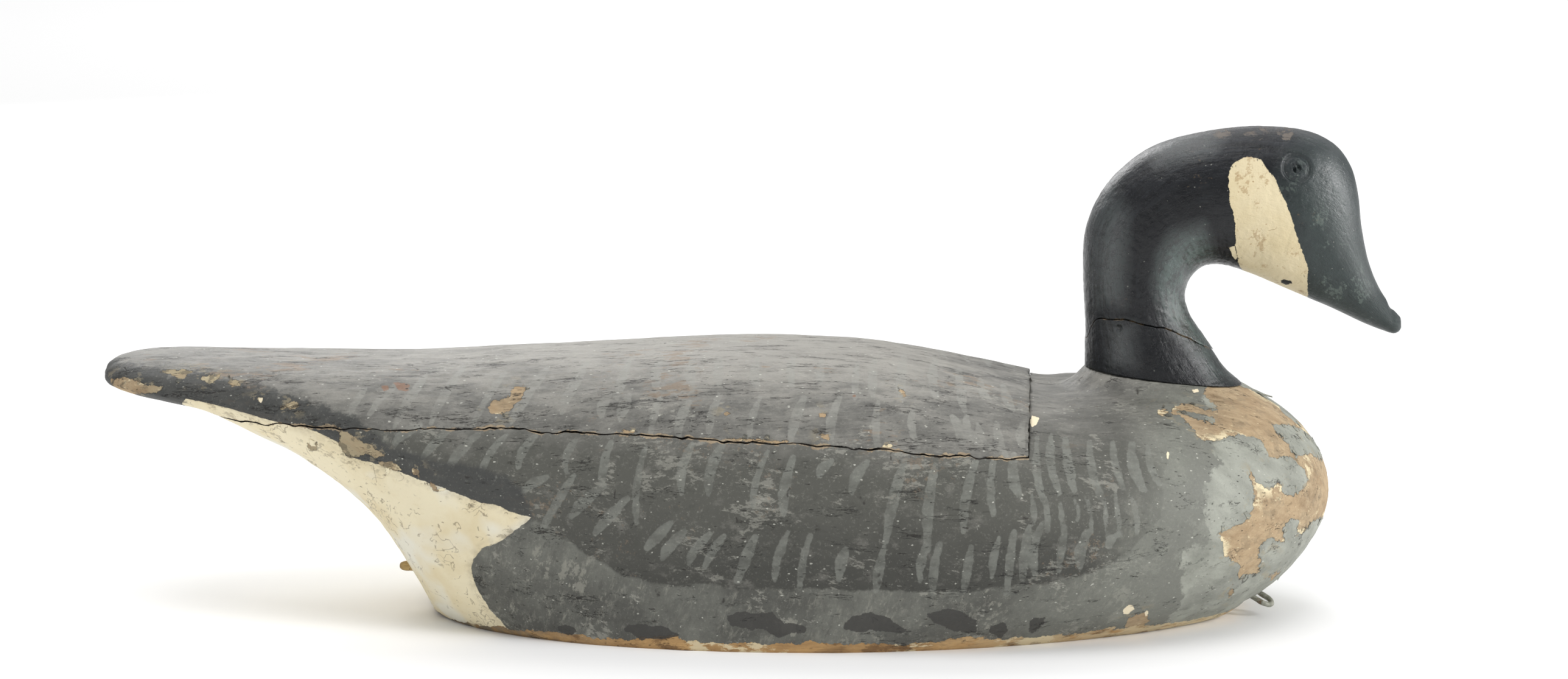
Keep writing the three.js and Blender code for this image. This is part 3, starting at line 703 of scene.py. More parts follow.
# The painted areas and the worn places, as outlines in the photograph
paintOutlines = {
    "cream": [
        (250, 620), (459, 620), (462, 689), (486, 698), (519, 709), (548, 722), (560, 732), (568, 749),
        (618, 761), (656, 774), (693, 788), (750, 809), (787, 825), (816, 830), (849, 844), (874, 850),
        (850, 869), (819, 891), (792, 900), (779, 916), (774, 934), (779, 956), (792, 979), (805, 1001),
        (823, 1019), (838, 1036), (856, 1070), (600, 1120), (300, 820)],
    "stripe": [
        (462, 640), (600, 690), (640, 733), (724, 757), (790, 767), (835, 782), (858, 803), (868, 828),
        (878, 856), (849, 862), (787, 845), (693, 808), (656, 792), (618, 780), (568, 768), (548, 740),
        (519, 727), (486, 716), (462, 708)],
    "tailBlack": [
        (140, 540), (172, 588), (196, 590), (238, 604), (266, 608), (318, 609), (346, 613), (396, 627),
        (441, 641), (466, 648), (501, 655), (536, 662), (571, 679), (610, 700), (610, 740), (140, 740)],
    "side": [
        (560, 600), (2010, 560), (1960, 640), (1925, 700), (1915, 770), (1905, 850), (1880, 885),
        (1850, 915), (1800, 938), (1700, 960), (1600, 970), (1400, 970), (1200, 966), (1079, 957),
        (1020, 938), (960, 908), (900, 862), (872, 848), (700, 770)],
    "breast": [
        (2010, 560), (2300, 500), (2300, 1100), (1960, 1100), (1930, 1020), (1940, 960), (1965, 900),
        (1980, 840), (1995, 790), (2005, 740), (1990, 690), (2000, 640)],
    "cheek": [
        (2041, 259), (2056, 257), (2071, 261), (2079, 274), (2092, 289), (2103, 312), (2116, 342),
        (2126, 372), (2135, 402), (2145, 428), (2149, 440), (2148, 458), (2149, 492), (2110, 486),
        (2079, 470), (2050, 455), (2037, 438), (2032, 421), (2029, 406), (2030, 383), (2028, 357),
        (2020, 331), (2018, 304), (2019, 285), (2024, 270)],
}
wornOutlines = {
    "rust": [
        [(627, 634), (637, 632), (638, 641), (629, 643)],
        [(647, 630), (660, 627), (673, 632), (670, 642), (655, 641)],
        [(1398, 648), (1406, 647), (1407, 652), (1400, 653)]],
    "peels": [
        [(1924, 673), (1938, 664), (1956, 664), (1972, 670), (2000, 675), (2001, 666), (1988, 658),
         (1978, 646), (1988, 628), (2039, 622), (2075, 640), (2100, 660), (2125, 675), (2160, 700),
         (2190, 760), (2190, 840), (2150, 859), (2138, 877), (2130, 871), (2134, 855), (2122, 851),
         (2112, 859), (2106, 871), (2111, 889), (2098, 889), (2092, 883), (2079, 887), (2067, 899),
         (2067, 915), (2071, 921), (2067, 942), (2045, 944), (2034, 949), (2037, 926), (2025, 923),
         (2019, 915), (2011, 915), (2009, 891), (2001, 876), (2015, 871), (2035, 863), (2047, 855),
         (2057, 840), (2062, 816), (2059, 796), (2052, 781), (2056, 772), (2065, 791), (2079, 802),
         (2086, 804), (2098, 794), (2105, 797), (2106, 810), (2122, 815), (2142, 803), (2148, 788),
         (2144, 772), (2130, 760), (2119, 751), (2108, 747), (2100, 753), (2088, 751), (2079, 737),
         (2071, 723), (2063, 719), (2035, 713), (2011, 718), (1994, 724), (1978, 724), (1970, 717),
         (1956, 699), (1936, 681), (1924, 677)],
        [(1901, 673), (1911, 671), (1919, 677), (1916, 683), (1902, 681)],
        [(2019, 970), (2027, 961), (2026, 974), (2018, 981)],
        [(2083, 948), (2094, 940), (2103, 938), (2090, 952)],
        [(1847, 1033), (1853, 1017), (1873, 1008), (1883, 1006), (1888, 1021), (1873, 1032)],
        [(560, 705), (575, 711), (594, 725), (614, 734), (623, 740), (631, 749), (617, 751), (602, 746),
         (583, 751), (568, 748), (556, 728)],
        [(623, 759), (642, 757), (656, 763), (658, 772), (642, 770), (625, 765)],
        [(674, 774), (681, 770), (688, 772), (689, 784), (677, 780)],
        [(696, 789), (711, 792), (723, 805), (713, 805)],
        [(503, 727), (512, 730), (521, 726), (519, 738), (509, 742)],
    ],
    "kept": [
        [(1936, 673), (1948, 675), (1968, 679), (1995, 684), (1996, 693), (1991, 696), (1976, 692),
         (1956, 685), (1937, 681)],
        [(2090, 697), (2114, 697), (2138, 705), (2158, 718), (2172, 737), (2172, 756), (2151, 745),
         (2139, 749), (2130, 751), (2120, 739), (2114, 729), (2104, 717), (2094, 707)],
    ],
    "boardPeels": [
        [(183, 622), (203, 618), (220, 622), (238, 632), (252, 632), (266, 635), (262, 643), (238, 646),
         (205, 650), (186, 640)],
        [(264, 610), (280, 607), (318, 607), (304, 621), (294, 622), (283, 615)],
        [(331, 617), (346, 614), (362, 615), (353, 626), (341, 629), (332, 624)],
        [(376, 622), (388, 622), (394, 633), (381, 636), (376, 629)],
        [(460, 672), (473, 661), (485, 656), (492, 668), (480, 672)],
        [(424, 654), (431, 654), (430, 662), (425, 659)],
        [(843, 637), (860, 633), (864, 638), (857, 654), (845, 663), (839, 675), (820, 681), (807, 681),
         (802, 671), (809, 659), (824, 659), (836, 652)],
        [(1188, 675), (1196, 677), (1201, 680), (1192, 681)],
        [(1346, 680), (1357, 680), (1356, 685), (1347, 684)],
        [(1348, 714), (1360, 715), (1363, 722), (1352, 721)],
        [(1475, 636), (1483, 640), (1489, 652), (1482, 648)],
        [(1199, 719), (1240, 722), (1283, 724), (1294, 716), (1294, 726), (1281, 728), (1240, 726),
         (1202, 723)],
        [(1451, 730), (1464, 731), (1458, 736), (1450, 735)],
        [(1020, 706), (1048, 707), (1052, 710), (1030, 711)],
    ],
    "blobs": [
        [(1193, 1012), (1205, 1006), (1270, 1008), (1289, 1023), (1317, 1027), (1329, 1038), (1300, 1040),
         (1279, 1046), (1258, 1033), (1228, 1033), (1199, 1027)],
        [(1380, 1033), (1403, 1010), (1430, 1008), (1460, 1015), (1477, 1027), (1498, 1038), (1472, 1040),
         (1439, 1036), (1409, 1038)],
        [(1521, 1010), (1548, 1000), (1576, 1002), (1603, 1019), (1603, 1038), (1582, 1040), (1557, 1033),
         (1536, 1023)],
        [(1624, 1027), (1649, 1021), (1656, 1036), (1645, 1048), (1626, 1042)],
        [(1025, 1034), (1034, 1026), (1069, 1026), (1094, 1031), (1115, 1043), (1096, 1048), (1054, 1050)],
        [(914, 1029), (927, 1025), (943, 1031), (950, 1040), (935, 1043), (918, 1036)],
        [(1689, 1041), (1695, 1015), (1717, 1013), (1715, 1025), (1701, 1039)],
    ],
    "creamChips": [
        [(1845, 1002), (1853, 994), (1862, 994), (1864, 1000), (1853, 1009), (1845, 1009)],
        [(1881, 1002), (1887, 1004), (1886, 1015), (1881, 1011)],
        [(1958, 640), (1968, 638), (1971, 642), (1961, 646)],
        [(1695, 683), (1708, 686), (1703, 697), (1695, 703), (1692, 693)],
        [(1915, 740), (1921, 744), (1920, 756), (1916, 751)],
        [(424, 653), (432, 653), (430, 663), (425, 660)],
    ],
    "farPeels": [
        [(1990, 720), (2020, 700), (2055, 715), (2080, 760), (2110, 790), (2100, 830), (2060, 820),
         (2040, 850), (2010, 830), (2020, 790), (1995, 760)],
        [(1940, 850), (1975, 840), (1990, 870), (1970, 900), (1945, 890)],
        [(1480, 1000), (1530, 985), (1560, 1010), (1540, 1040), (1490, 1040)],
        [(900, 905), (930, 890), (950, 915), (925, 935)],
    ],
    "farBoardPeels": [
        [(190, 600), (230, 590), (280, 600), (300, 620), (240, 640), (195, 630)],
        [(620, 640), (660, 628), (700, 640), (680, 660), (640, 662)],
        [(1380, 640), (1440, 632), (1460, 650), (1400, 660)],
    ],
}

# The feather strokes: rows of short bands, each from a top line down to an end line
featherRows = [
    {
        "tops": [600, 652, 700, 762, 830, 897, 965, 1034, 1086, 1138, 1182, 1245, 1304, 1350, 1409, 1438,
                 1485, 1536, 1575, 1611, 1648],
        "top": [(600, 640), (700, 617), (900, 605), (1100, 588), (1300, 588), (1500, 594), (1650, 632)],
        "end": [(600, 680), (700, 694), (900, 694), (1000, 674), (1138, 644), (1300, 630), (1409, 646),
                (1536, 666), (1650, 668)],
        "slant": [(600, -30), (700, -52), (900, -56), (1034, -20), (1134, 0), (1485, -4), (1611, 16)],
        "bow": -8,
        "width": 7.5,
    },
    {
        "tops": [1003, 1034, 1085, 1132, 1182, 1249, 1321, 1380, 1443, 1500, 1565, 1588, 1607, 1637, 1681],
        "top": [(1000, 645), (1132, 657), (1321, 653), (1443, 657), (1500, 664), (1607, 690), (1681, 695)],
        "end": [(1000, 695), (1132, 716), (1249, 724), (1443, 728), (1565, 727), (1637, 743), (1681, 732)],
        "slant": [(1000, -15), (1249, -19), (1321, -22), (1443, 0), (1500, 8), (1607, 21), (1681, 0)],
        "bow": -9,
        "width": 8,
    },
    {
        "tops": [690, 740, 786, 832, 880, 946, 1004, 1061, 1138, 1186, 1262, 1304, 1367, 1426, 1485, 1536,
                 1603, 1632, 1666, 1704, 1727, 1750, 1790, 1828, 1860, 1885],
        "top": [(690, 706), (786, 713), (946, 721), (1138, 732), (1304, 745), (1485, 764), (1603, 762),
                (1666, 745), (1704, 718), (1790, 722), (1885, 735)],
        "end": [(690, 738), (786, 762), (832, 774), (946, 775), (1004, 792), (1061, 852), (1138, 830),
                (1262, 829), (1304, 838), (1367, 784), (1426, 800), (1485, 900), (1536, 905), (1603, 876),
                (1666, 820), (1704, 815), (1885, 802)],
        "slant": [(690, -40), (786, -50), (946, -15), (1061, -15), (1262, -25), (1304, -17), (1485, -30),
                  (1536, -12), (1603, -20), (1632, 0), (1704, 12), (1860, 20)],
        "bow": -12,
        "width": 8,
    },
    {
        "tops": [899, 943, 992, 1031, 1102, 1124, 1165, 1190, 1241, 1296, 1331, 1390, 1451, 1523, 1544,
                 1595, 1641, 1666, 1691, 1712, 1750, 1786, 1833],
        "top": [(899, 782), (943, 778), (992, 792), (1031, 824), (1119, 864), (1174, 882), (1296, 871),
                (1390, 902), (1523, 892), (1600, 888), (1666, 880), (1700, 860), (1833, 879)],
        "end": [(899, 822), (943, 855), (992, 842), (1031, 868), (1119, 922), (1174, 937), (1241, 945),
                (1296, 957), (1390, 962), (1523, 968), (1666, 964), (1700, 945), (1833, 916)],
        "slant": [(899, -40), (943, -52), (1031, -54), (1119, -36), (1241, -30), (1390, -12), (1833, -11)],
        "bow": -6,
        "width": 8.5,
    },
    {
        "tops": [1694, 1716, 1738, 1762, 1784, 1808, 1830, 1856],
        "top": [(1694, 815), (1856, 810)],
        "end": [(1694, 872), (1856, 880)],
        "slant": [(1694, 4), (1856, 12)],
        "bow": 6,
        "width": 5,
    },
]


def strokeLines(side):
    # the middle line and half width of every stroke; the far side's are shifted a little
    draw = np.random.default_rng(12 if side < 0 else 47)
    lines = []
    for row in featherRows:
        top, end, slant = [smoothThrough(row[key]) for key in ("top", "end", "slant")]
        shift = 0 if side < 0 else 18
        for x in row["tops"]:
            jitter = draw.normal(0, 4, 3) * (1 if side < 0 else 2)
            start = np.array([x + shift, top(x) + jitter[0]])
            finish = np.array([x + shift + slant(x), end(x) + jitter[1] * 2])
            bend = (start + finish) / 2 + [row["bow"] + jitter[2], 0]
            t = np.linspace(0, 1, 7)[:, None]
            curve = (1 - t) ** 2 * start + 2 * t * (1 - t) * bend + t ** 2 * finish
            lines.append((curve, row["width"] * draw.uniform(0.75, 1.2)))
    return lines


def strokeField(spots, lines):
    field = np.full(len(spots), -12.0)
    for curve, halfWidth in lines:
        reach = halfWidth + 30
        close = np.all((spots > curve.min(0) - reach) & (spots < curve.max(0) + reach), axis=1)
        near = spots[close]
        best = np.full(len(near), 1e9)
        for i in range(len(curve) - 1):
            edge = curve[i + 1] - curve[i]
            t = np.clip(((near - curve[i]) @ edge) / (edge @ edge), 0, 1)
            away = np.linalg.norm(near - curve[i] - t[:, None] * edge, axis=1)
            along = (i + t) / (len(curve) - 1)
            best = np.minimum(best, away - halfWidth * (0.55 + 0.45 * np.sin(math.pi * along)))
        field[close] = np.maximum(field[close], -best * photoView["mmPerPixel"])
    return field


# Where paint ends that no outline gives: under the tail, along the base and past the middle line
paintEdges = {
    "underTilt": -0.28,
    "creamFrom": -378,
    "creamRagged": 14,
    "baseBand": 3.2,
    "baseRagged": 2.4,
    "farAway": 60,
    "fadeFrom": -5,
    "fadeTo": 25,
    "farFrom": 10,
    "farTo": 30,
}


def paintFields(piece, isBoard):
    # how far inside each painted or worn area every point lies
    points = pointsOf(piece)
    normals = normalsOf(piece)
    spots = nearSpots(points)
    near = points[:, 1] < 0
    across = points[:, 1] + 16 * noiseAt(points, 15, 52) + 5 * noiseAt(points, 5, 53)
    farther = paintEdges["farAway"] * smoothStep(paintEdges["fadeFrom"], paintEdges["fadeTo"], across)
    strokes = np.where(near, strokeField(spots, strokeLines(-1)), strokeField(spots, strokeLines(1)))
    worn = {name: insideAny(spots, wornOutlines[name]) - farther for name in ("creamChips", "blobs", "rust")}
    if isBoard:
        below = (paintEdges["underTilt"] - normals[:, 2]) * 30
        ragged = paintEdges["creamRagged"] * noiseAt(points, 12, 55)
        cream = np.minimum(below, points[:, 0] - paintEdges["creamFrom"] + ragged)
        black = np.maximum(insideBy(spots, paintOutlines["tailBlack"]), below)
        peels = insideAny(spots, wornOutlines["boardPeels"]) - farther
    else:
        cream = insideBy(spots, paintOutlines["cream"])
        black = insideBy(spots, paintOutlines["stripe"])
        peels = insideAny(spots, wornOutlines["peels"])
        peels = np.minimum(peels, -insideAny(spots, wornOutlines["kept"])) - farther
    farPeels = insideAny(spots, wornOutlines["farBoardPeels" if isBoard else "farPeels"])
    nearer = 1 - smoothStep(paintEdges["farFrom"], paintEdges["farTo"], points[:, 1])
    peels = np.maximum(peels, farPeels - paintEdges["farAway"] * nearer)
    band = paintEdges["baseBand"] * (1 + smoothStep(-230, -120, points[:, 0]))
    band += paintEdges["baseRagged"] * lineNoise(points[:, 0] + 400 * near, 34, 51)
    setFields(piece.data, {
        "sideMm": insideBy(spots, paintOutlines["side"]),
        "breastMm": insideBy(spots, paintOutlines["breast"]),
        "strokeMm": strokes,
        "chipMm": worn["creamChips"],
        "blobMm": worn["blobs"],
        "rustMm": worn["rust"],
        "creamMm": cream,
        "blackMm": black,
        "peelMm": peels,
        "edgeMm": band - points[:, 2],
    })


# The worn relief of the body: hand carving, raised grain, chipped seams and thin paint
bodyRelief = {
    "carving": 0.5,
    "carvingSize": 52,
    "ripple": 0.2,
    "rippleSize": (26, 5, 5),
    "grain": 0.12,
    "grainSize": (11, 2.2, 2.2),
    "chipSize": 6,
    "chipDepth": 0.5,
    "peelDepth": 0.25,
    "edgeReach": 1.8,
    "chipReach": 3.2,
    "buttReach": 3.5,
    "baseWear": 1.1,
    "baseReach": 4.5,
}


def weatherBody(piece, isBoard):
    points = pointsOf(piece)
    normals = normalsOf(piece)
    fromSeam = fieldOf(piece, "fromSeam")
    peel = fieldOf(piece, "peelMm")
    height = bodyRelief["carving"] * noiseAt(points, bodyRelief["carvingSize"], 61)
    height += bodyRelief["ripple"] * noiseAt(points, bodyRelief["rippleSize"], 62)
    height += bodyRelief["grain"] * noiseAt(points, bodyRelief["grainSize"], 63) * (1.6 if isBoard else 1)
    height *= smoothStep(0.5, 9, points[:, 2])
    height *= np.clip(fromSeam / 3, 0, 1) * 0.8 + 0.2
    height -= bodyRelief["peelDepth"] * smoothStep(-0.4, 0.8, peel)
    chips = smoothStep(0.05, 0.6, noiseAt(points, bodyRelief["chipSize"], 64 + isBoard))
    rounding = seamShape["edgeRound"] * np.clip(1 - fromSeam / bodyRelief["edgeReach"], 0, 1) ** 2
    chipped = bodyRelief["chipDepth"] * chips * np.clip(1 - fromSeam / bodyRelief["chipReach"], 0, 1)
    above = points[:, 2] > jointAt(points[:, 0]) - 1
    atButt = np.clip(1 - fromButt(points) / bodyRelief["buttReach"], 0, 1) * above
    height -= rounding + chipped + atButt * (0.1 + 0.5 * chips)
    wear = bodyRelief["baseWear"] * np.clip(1 - points[:, 2] / bodyRelief["baseReach"], 0, 1) ** 2
    wear *= (0.5 + 0.5 * noiseAt(points, 13, 66)) * (normals[:, 2] > -0.9) * (not isBoard)
    moved = points + normals * (height - wear)[:, None]
    moved[:, 2] = np.where(points[:, 2] < 0.01, 0, np.maximum(moved[:, 2], 0))
    movePoints(piece, moved)


paintFields(board, True)
paintFields(block, False)
weatherBody(board, True)
weatherBody(block, False)
print("painted areas and worn relief laid on the body")


# The carved head: eyes, rasp marks, knife facets, a nail mark and worn paint on the crown
headCarving = {
    "eyeStation": 12.78,
    "eyeTurn": 1.0,
    "eyeRadius": 9.8,
    "grooveWidth": 3.2,
    "grooveDepth": 1.5,
    "discDepth": 0.5,
    "pitRadius": 2.9,
    "pitDepth": 3.3,
    "lip": 0.1,
    "rasp": 0.1,
    "raspSize": (2.6, 6, 6),
    "facet": 0.5,
    "facetSize": (19, 10, 10),
    "fine": 0.12,
    "nailSpot": (1838, 539),
    "nailRadius": 2.1,
    "billTipReach": 7,
    "billTipCut": 1.1,
}
headOutlines = {
    "crown": [
        [(1990, 205), (2025, 203), (2030, 218), (2015, 228), (1992, 226)],
        [(2044, 219), (2060, 216), (2078, 220), (2084, 227), (2060, 229), (2046, 227)],
        [(2066, 206), (2100, 207), (2126, 212), (2124, 224), (2119, 231), (2106, 226), (2094, 218),
         (2068, 216)],
    ],
    # the paler face front: thinned paint and a painted highlight
    "fade": [
        (2150, 200), (2400, 250), (2400, 620), (2120, 520), (2130, 470), (2125, 400), (2105, 330),
        (2130, 250)],
    # where the glossy black shows highlights: painted paler here, and given more gloss
    "handled": [
        [(1925, 385), (1975, 368), (1990, 420), (1965, 445), (1950, 475), (1955, 505), (1990, 560),
         (2030, 622), (1990, 622), (1950, 560), (1915, 520), (1900, 470), (1905, 420)],
        [(1785, 330), (1830, 300), (1850, 350), (1845, 500), (1800, 500)],
        [(1815, 530), (1860, 535), (1865, 600), (1825, 600)],
        [(1870, 235), (1960, 210), (2010, 222), (1990, 250), (1900, 270)],
        [(2165, 260), (2200, 250), (2225, 330), (2232, 400), (2262, 470), (2245, 480), (2190, 390),
         (2160, 320)],
    ],
    "dot": [(2104, 460), (2110, 459), (2122, 461), (2123, 466), (2112, 467), (2105, 464)],
    "drip": [(2019, 406), (2030, 405), (2033, 421), (2030, 428), (2025, 421)],
}


def eyeFrame(side):
    station = headCarving["eyeStation"]
    angle = side * headCarving["eyeTurn"]
    around = [headPoints(np.array([station + a]), np.array([angle + b]))[0]
              for a, b in ((0, 0), (0.2, 0), (-0.2, 0), (0, 0.05), (0, -0.05))]
    axis = np.cross(around[1] - around[2], around[3] - around[4])
    axis *= np.sign(axis[1] * around[0][1]) / np.linalg.norm(axis)
    return around[0], axis


def refineAround(piece, centres, reach):
    work = bmesh.new()
    work.from_mesh(piece.data)
    near = [face for face in work.faces
            if min((face.calc_center_median() * 1000 - centre).length for centre in centres) < reach]
    edges = list({edge for face in near for edge in face.edges})
    bmesh.ops.subdivide_edges(work, edges=edges, cuts=2, use_grid_fill=True)
    work.to_mesh(piece.data)
    work.free()
    piece.data.shade_smooth()


def carveEye(points, side):
    centre, axis = eyeFrame(side)
    offset = points - centre
    along = offset @ axis
    flat = offset - along[:, None] * axis
    r = np.linalg.norm(flat, axis=1)
    r += 0.35 * noiseAt(points, 5, 71 + side) * smoothStep(1, 5, r)
    radius, width = headCarving["eyeRadius"], headCarving["grooveWidth"]
    groove = np.exp(-((r - radius + width * 0.62) / (width * 0.36)) ** 2)
    disc = 1 - smoothStep(radius - width * 1.1, radius - width * 0.2, r)
    pitShape = headCarving["pitRadius"] * (1 + 0.35 * noiseAt(points, 2.2, 74 + side))
    pit = 1 - smoothStep(pitShape - 0.7, pitShape + 0.5, r)
    broken = 0.75 + 0.5 * noiseAt(points, (1.1, 1.1, 3), 76 + side)
    lip = np.exp(-((r - radius - 0.9) / 1.2) ** 2) * headCarving["lip"]
    depth = headCarving["grooveDepth"] * 0.75 * groove + headCarving["discDepth"] * disc
    depth += headCarving["pitDepth"] * pit * broken * 0.8 - lip
    depth += 0.12 * noiseAt(points, 1.6, 79) * disc
    close = (np.abs(along) < 12) & (r < headMesh["eyeReach"])
    return points - axis * (depth * close)[:, None]


def carveHead(piece, withEyes):
    if withEyes:
        centres = [Vector(eyeFrame(side)[0]) for side in (-1, 1)]
        refineAround(piece, centres, headMesh["eyeReach"])
    points = pointsOf(piece)
    normals = normalsOf(piece)
    length = fieldOf(piece, "alongNeck") if withEyes else -points[:, 2]
    girth = 28 * np.stack([np.cos(fieldOf(piece, "aroundNeck")), np.sin(fieldOf(piece, "aroundNeck"))], -1)
    unrolled = np.concatenate([length[:, None], girth], axis=1)
    setFields(piece.data, dict(zip(("alongGrain", "girthUp", "girthSide"), unrolled.T)))
    height = headCarving["rasp"] * noiseAt(unrolled, headCarving["raspSize"], 81)
    height += headCarving["facet"] * noiseAt(unrolled, headCarving["facetSize"], 82)
    height += headCarving["fine"] * noiseAt(points, 1.7, 83)
    spots = nearSpots(points)
    if withEyes:
        total = length.max()
        height *= 1 - 0.75 * smoothStep(0.55, 0.75, length / total)
        fromTip = total - length
        atTip = 1 - smoothStep(2, headCarving["billTipReach"], fromTip)
        upward = np.clip(normals @ [0.3, 0, 0.95], 0, 1)
        height += atTip * (0.3 * noiseAt(points, 2.6, 84) - headCarving["billTipCut"] * upward)
        calm = np.ones(len(points))
        for side in (-1, 1):
            away = np.linalg.norm(points - eyeFrame(side)[0], axis=1)
            calm = np.minimum(calm, 0.25 + 0.75 * smoothStep(9, 16, away))
        height *= calm
    else:
        nail = np.linalg.norm(spots - headCarving["nailSpot"], axis=1) * photoView["mmPerPixel"]
        height -= 0.8 * (1 - smoothStep(headCarving["nailRadius"] - 0.9, headCarving["nailRadius"], nail))
        height += 0.3 * np.exp(-((nail - 3) / 0.9) ** 2)
        setFields(piece.data, {"nailMm": headCarving["nailRadius"] - nail})
    height *= np.abs(normals[:, 2]) < 0.995
    moved = points + normals * height[:, None]
    if withEyes:
        for side in (-1, 1):
            moved = carveEye(moved, side)
    movePoints(piece, moved)
    fromSeam = np.abs(points[:, 2] - seamSheet(points[:, 0], points[:, 1]))
    setFields(piece.data, {
        "cheekMm": insideBy(spots, paintOutlines["cheek"]),
        "crownMm": insideAny(spots, headOutlines["crown"]),
        "fadeMm": insideBy(spots, headOutlines["fade"]),
        "handledMm": insideAny(spots, headOutlines["handled"]),
        "dotMm": insideAny(spots, [headOutlines["dot"], headOutlines["drip"]]),
        "fromSeam": np.minimum(fromSeam, 40),
    })


carveHead(head, True)
carveHead(neckBase, False)
print("head and neck carved")

# The broken peg in the rump and the anchor staple under the breast
pegForm = {"radius": 3.3, "dome": 4.6, "rows": 90, "sides": 60, "grain": 0.22, "height": 23}
stapleForm = {
    "radius": 1.7,
    "spacing": 11,
    "reach": 13,
    "depth": 14,
    "setback": 46,
    "offset": -30,
    "turn": 0.5,
    "drop": 0.45,
    "sides": 28,
    "paintLumps": 0.16,
}


def buildPeg():
    low, high = [np.array(corner) * 1000 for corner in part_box("rump_peg")]
    turn = np.linspace(0, 2 * math.pi, pegForm["sides"], endpoint=False)
    rings = []
    for share in np.linspace(0, 1, pegForm["rows"]):
        x = low[0] + 0.15 + (high[0] - low[0] - 0.15) * share ** 1.5
        inward = np.clip((x - low[0]) / pegForm["dome"], 0, 1)
        radius = pegForm["radius"] * (0.12 + 0.88 * math.sqrt(1 - (1 - inward) ** 2)) - 0.1
        ring = np.stack([np.full_like(turn, x), radius * np.sin(turn), radius * np.cos(turn)], -1)
        grain = noiseAt(ring, (7, 0.9, 0.9), 91) * pegForm["grain"] * 0.5
        splinter = np.clip(noiseAt(ring + 3, (30, 1.6, 1.6), 92), 0, 1) * (1 - share) ** 3
        ring[:, 1:] *= (1 - 0.05 * share - (grain + 0.1) / radius)[:, None]
        ring[:, 0] += 1.2 * splinter
        rings.append(ring + [0, 0, pegForm["height"]])
    ends = [rings[0].mean(axis=0) + [0.3, 0, 0], rings[-1].mean(axis=0)]
    return ringsToPiece("rumpPegWorn", rings, ends, lambda points: {"fromEnd": points[:, 0] - low[0]})


def undersideAt(x, y):
    keel, half, base, widest = [bodyAt(np.array([x]))[key][0] for key in ("keel", "half", "base", "widest")]
    past = max(0, abs(y) - base) / (half - base)
    sine = past ** (1 / (2 * (0.5 + 0.5 * base / half)))
    return widest - (widest - keel) * math.sqrt(1 - sine * sine)


def buildStaple():
    half = stapleForm["spacing"] / 2
    straight = stapleForm["reach"] - half - stapleForm["radius"]
    path = [(x, half) for x in np.linspace(-stapleForm["depth"], straight, 44)]
    path += [(straight + half * math.cos(a), half * math.sin(a)) for a in np.linspace(1.5, -1.5, 40)]
    path += [(x, -half) for x in np.linspace(straight, -stapleForm["depth"], 44)]
    path = np.array([(x, y, 0) for x, y in path])
    way = np.gradient(path, axis=0)
    way /= np.linalg.norm(way, axis=1)[:, None]
    up = np.array([0, 0, 1.0])
    across = np.cross(up, way)
    turn = np.linspace(0, 2 * math.pi, stapleForm["sides"], endpoint=False)
    rings = []
    for middle, side in zip(path, across):
        circle = np.cos(turn)[:, None] * side + np.sin(turn)[:, None] * up
        ring = middle + circle * (stapleForm["radius"] - 0.14)
        lumps = stapleForm["paintLumps"] * noiseAt(ring, 3.2, 95) + 0.05 * noiseAt(ring, 0.9, 96)
        rings.append(ring + circle * lumps[:, None])
    place = np.array([breastTipX - stapleForm["setback"], stapleForm["offset"], 0])
    place[2] = undersideAt(place[0], place[1])
    c, s = math.cos(stapleForm["drop"]), math.sin(stapleForm["drop"])
    cz, sz = math.cos(-stapleForm["turn"]), math.sin(-stapleForm["turn"])
    turned = np.array([[cz, -sz, 0], [sz, cz, 0], [0, 0, 1]]) @ np.array([[c, 0, s], [0, 1, 0], [-s, 0, c]])
    rings = [ring @ turned.T + place for ring in rings]
    ends = [rings[0].mean(axis=0), rings[-1].mean(axis=0)]
    return ringsToPiece("anchorStapleWorn", rings, ends, lambda points: {"height": points[:, 2]})


peg = buildPeg()
staple = buildStaple()
print("peg and staple made")


# Materials, with a few short helpers for their nodes first. New nodes go into the tree being built.
building = {"tree": None}


def shade(red, green, blue):
    parts = [((part / 255 + 0.055) / 1.055) ** 2.4 for part in (red, green, blue)]
    return (*parts, 1)


def shades(**tones):
    return {name: shade(*tone) for name, tone in tones.items()}


def addNode(kind, inputs=(), **settings):
    tree = building["tree"]
    node = tree.nodes.new(kind)
    for key, value in settings.items():
        setattr(node, key, value)
    for socket, value in dict(inputs).items():
        if isinstance(value, bpy.types.NodeSocket):
            tree.links.new(value, node.inputs[socket])
        else:
            node.inputs[socket].default_value = value
    return node


def mixColour(mask, under, over):
    return addNode("ShaderNodeMix", {0: mask, 6: under, 7: over}, data_type="RGBA").outputs[2]


def mixValue(mask, under, over):
    return addNode("ShaderNodeMix", {0: mask, 2: under, 3: over}).outputs[0]


def calculate(operation, *values):
    return addNode("ShaderNodeMath", dict(enumerate(values)), operation=operation).outputs[0]


def times(*values):
    result = values[0]
    for value in values[1:]:
        result = calculate("MULTIPLY", result, value)
    return result


def total(*values):
    result = values[0]
    for value in values[1:]:
        result = calculate("ADD", result, value)
    return result


def remap(value, low, high, toLow=0.0, toHigh=1.0):
    return addNode("ShaderNodeMapRange", {0: value, 1: low, 2: high, 3: toLow, 4: toHigh}).outputs[0]


def objectPoint(stretch=(1, 1, 1), shift=(0, 0, 0), turn=(0, 0, 0)):
    # object coordinates, turned and then stretched, so that a pattern gets longer along an axis
    point = addNode("ShaderNodeTexCoord").outputs["Object"]
    if (stretch, shift, turn) == ((1, 1, 1), (0, 0, 0), (0, 0, 0)):
        return point
    inputs = {"Vector": point, "Scale": stretch, "Location": shift, "Rotation": turn}
    return addNode("ShaderNodeMapping", inputs, vector_type="TEXTURE").outputs[0]


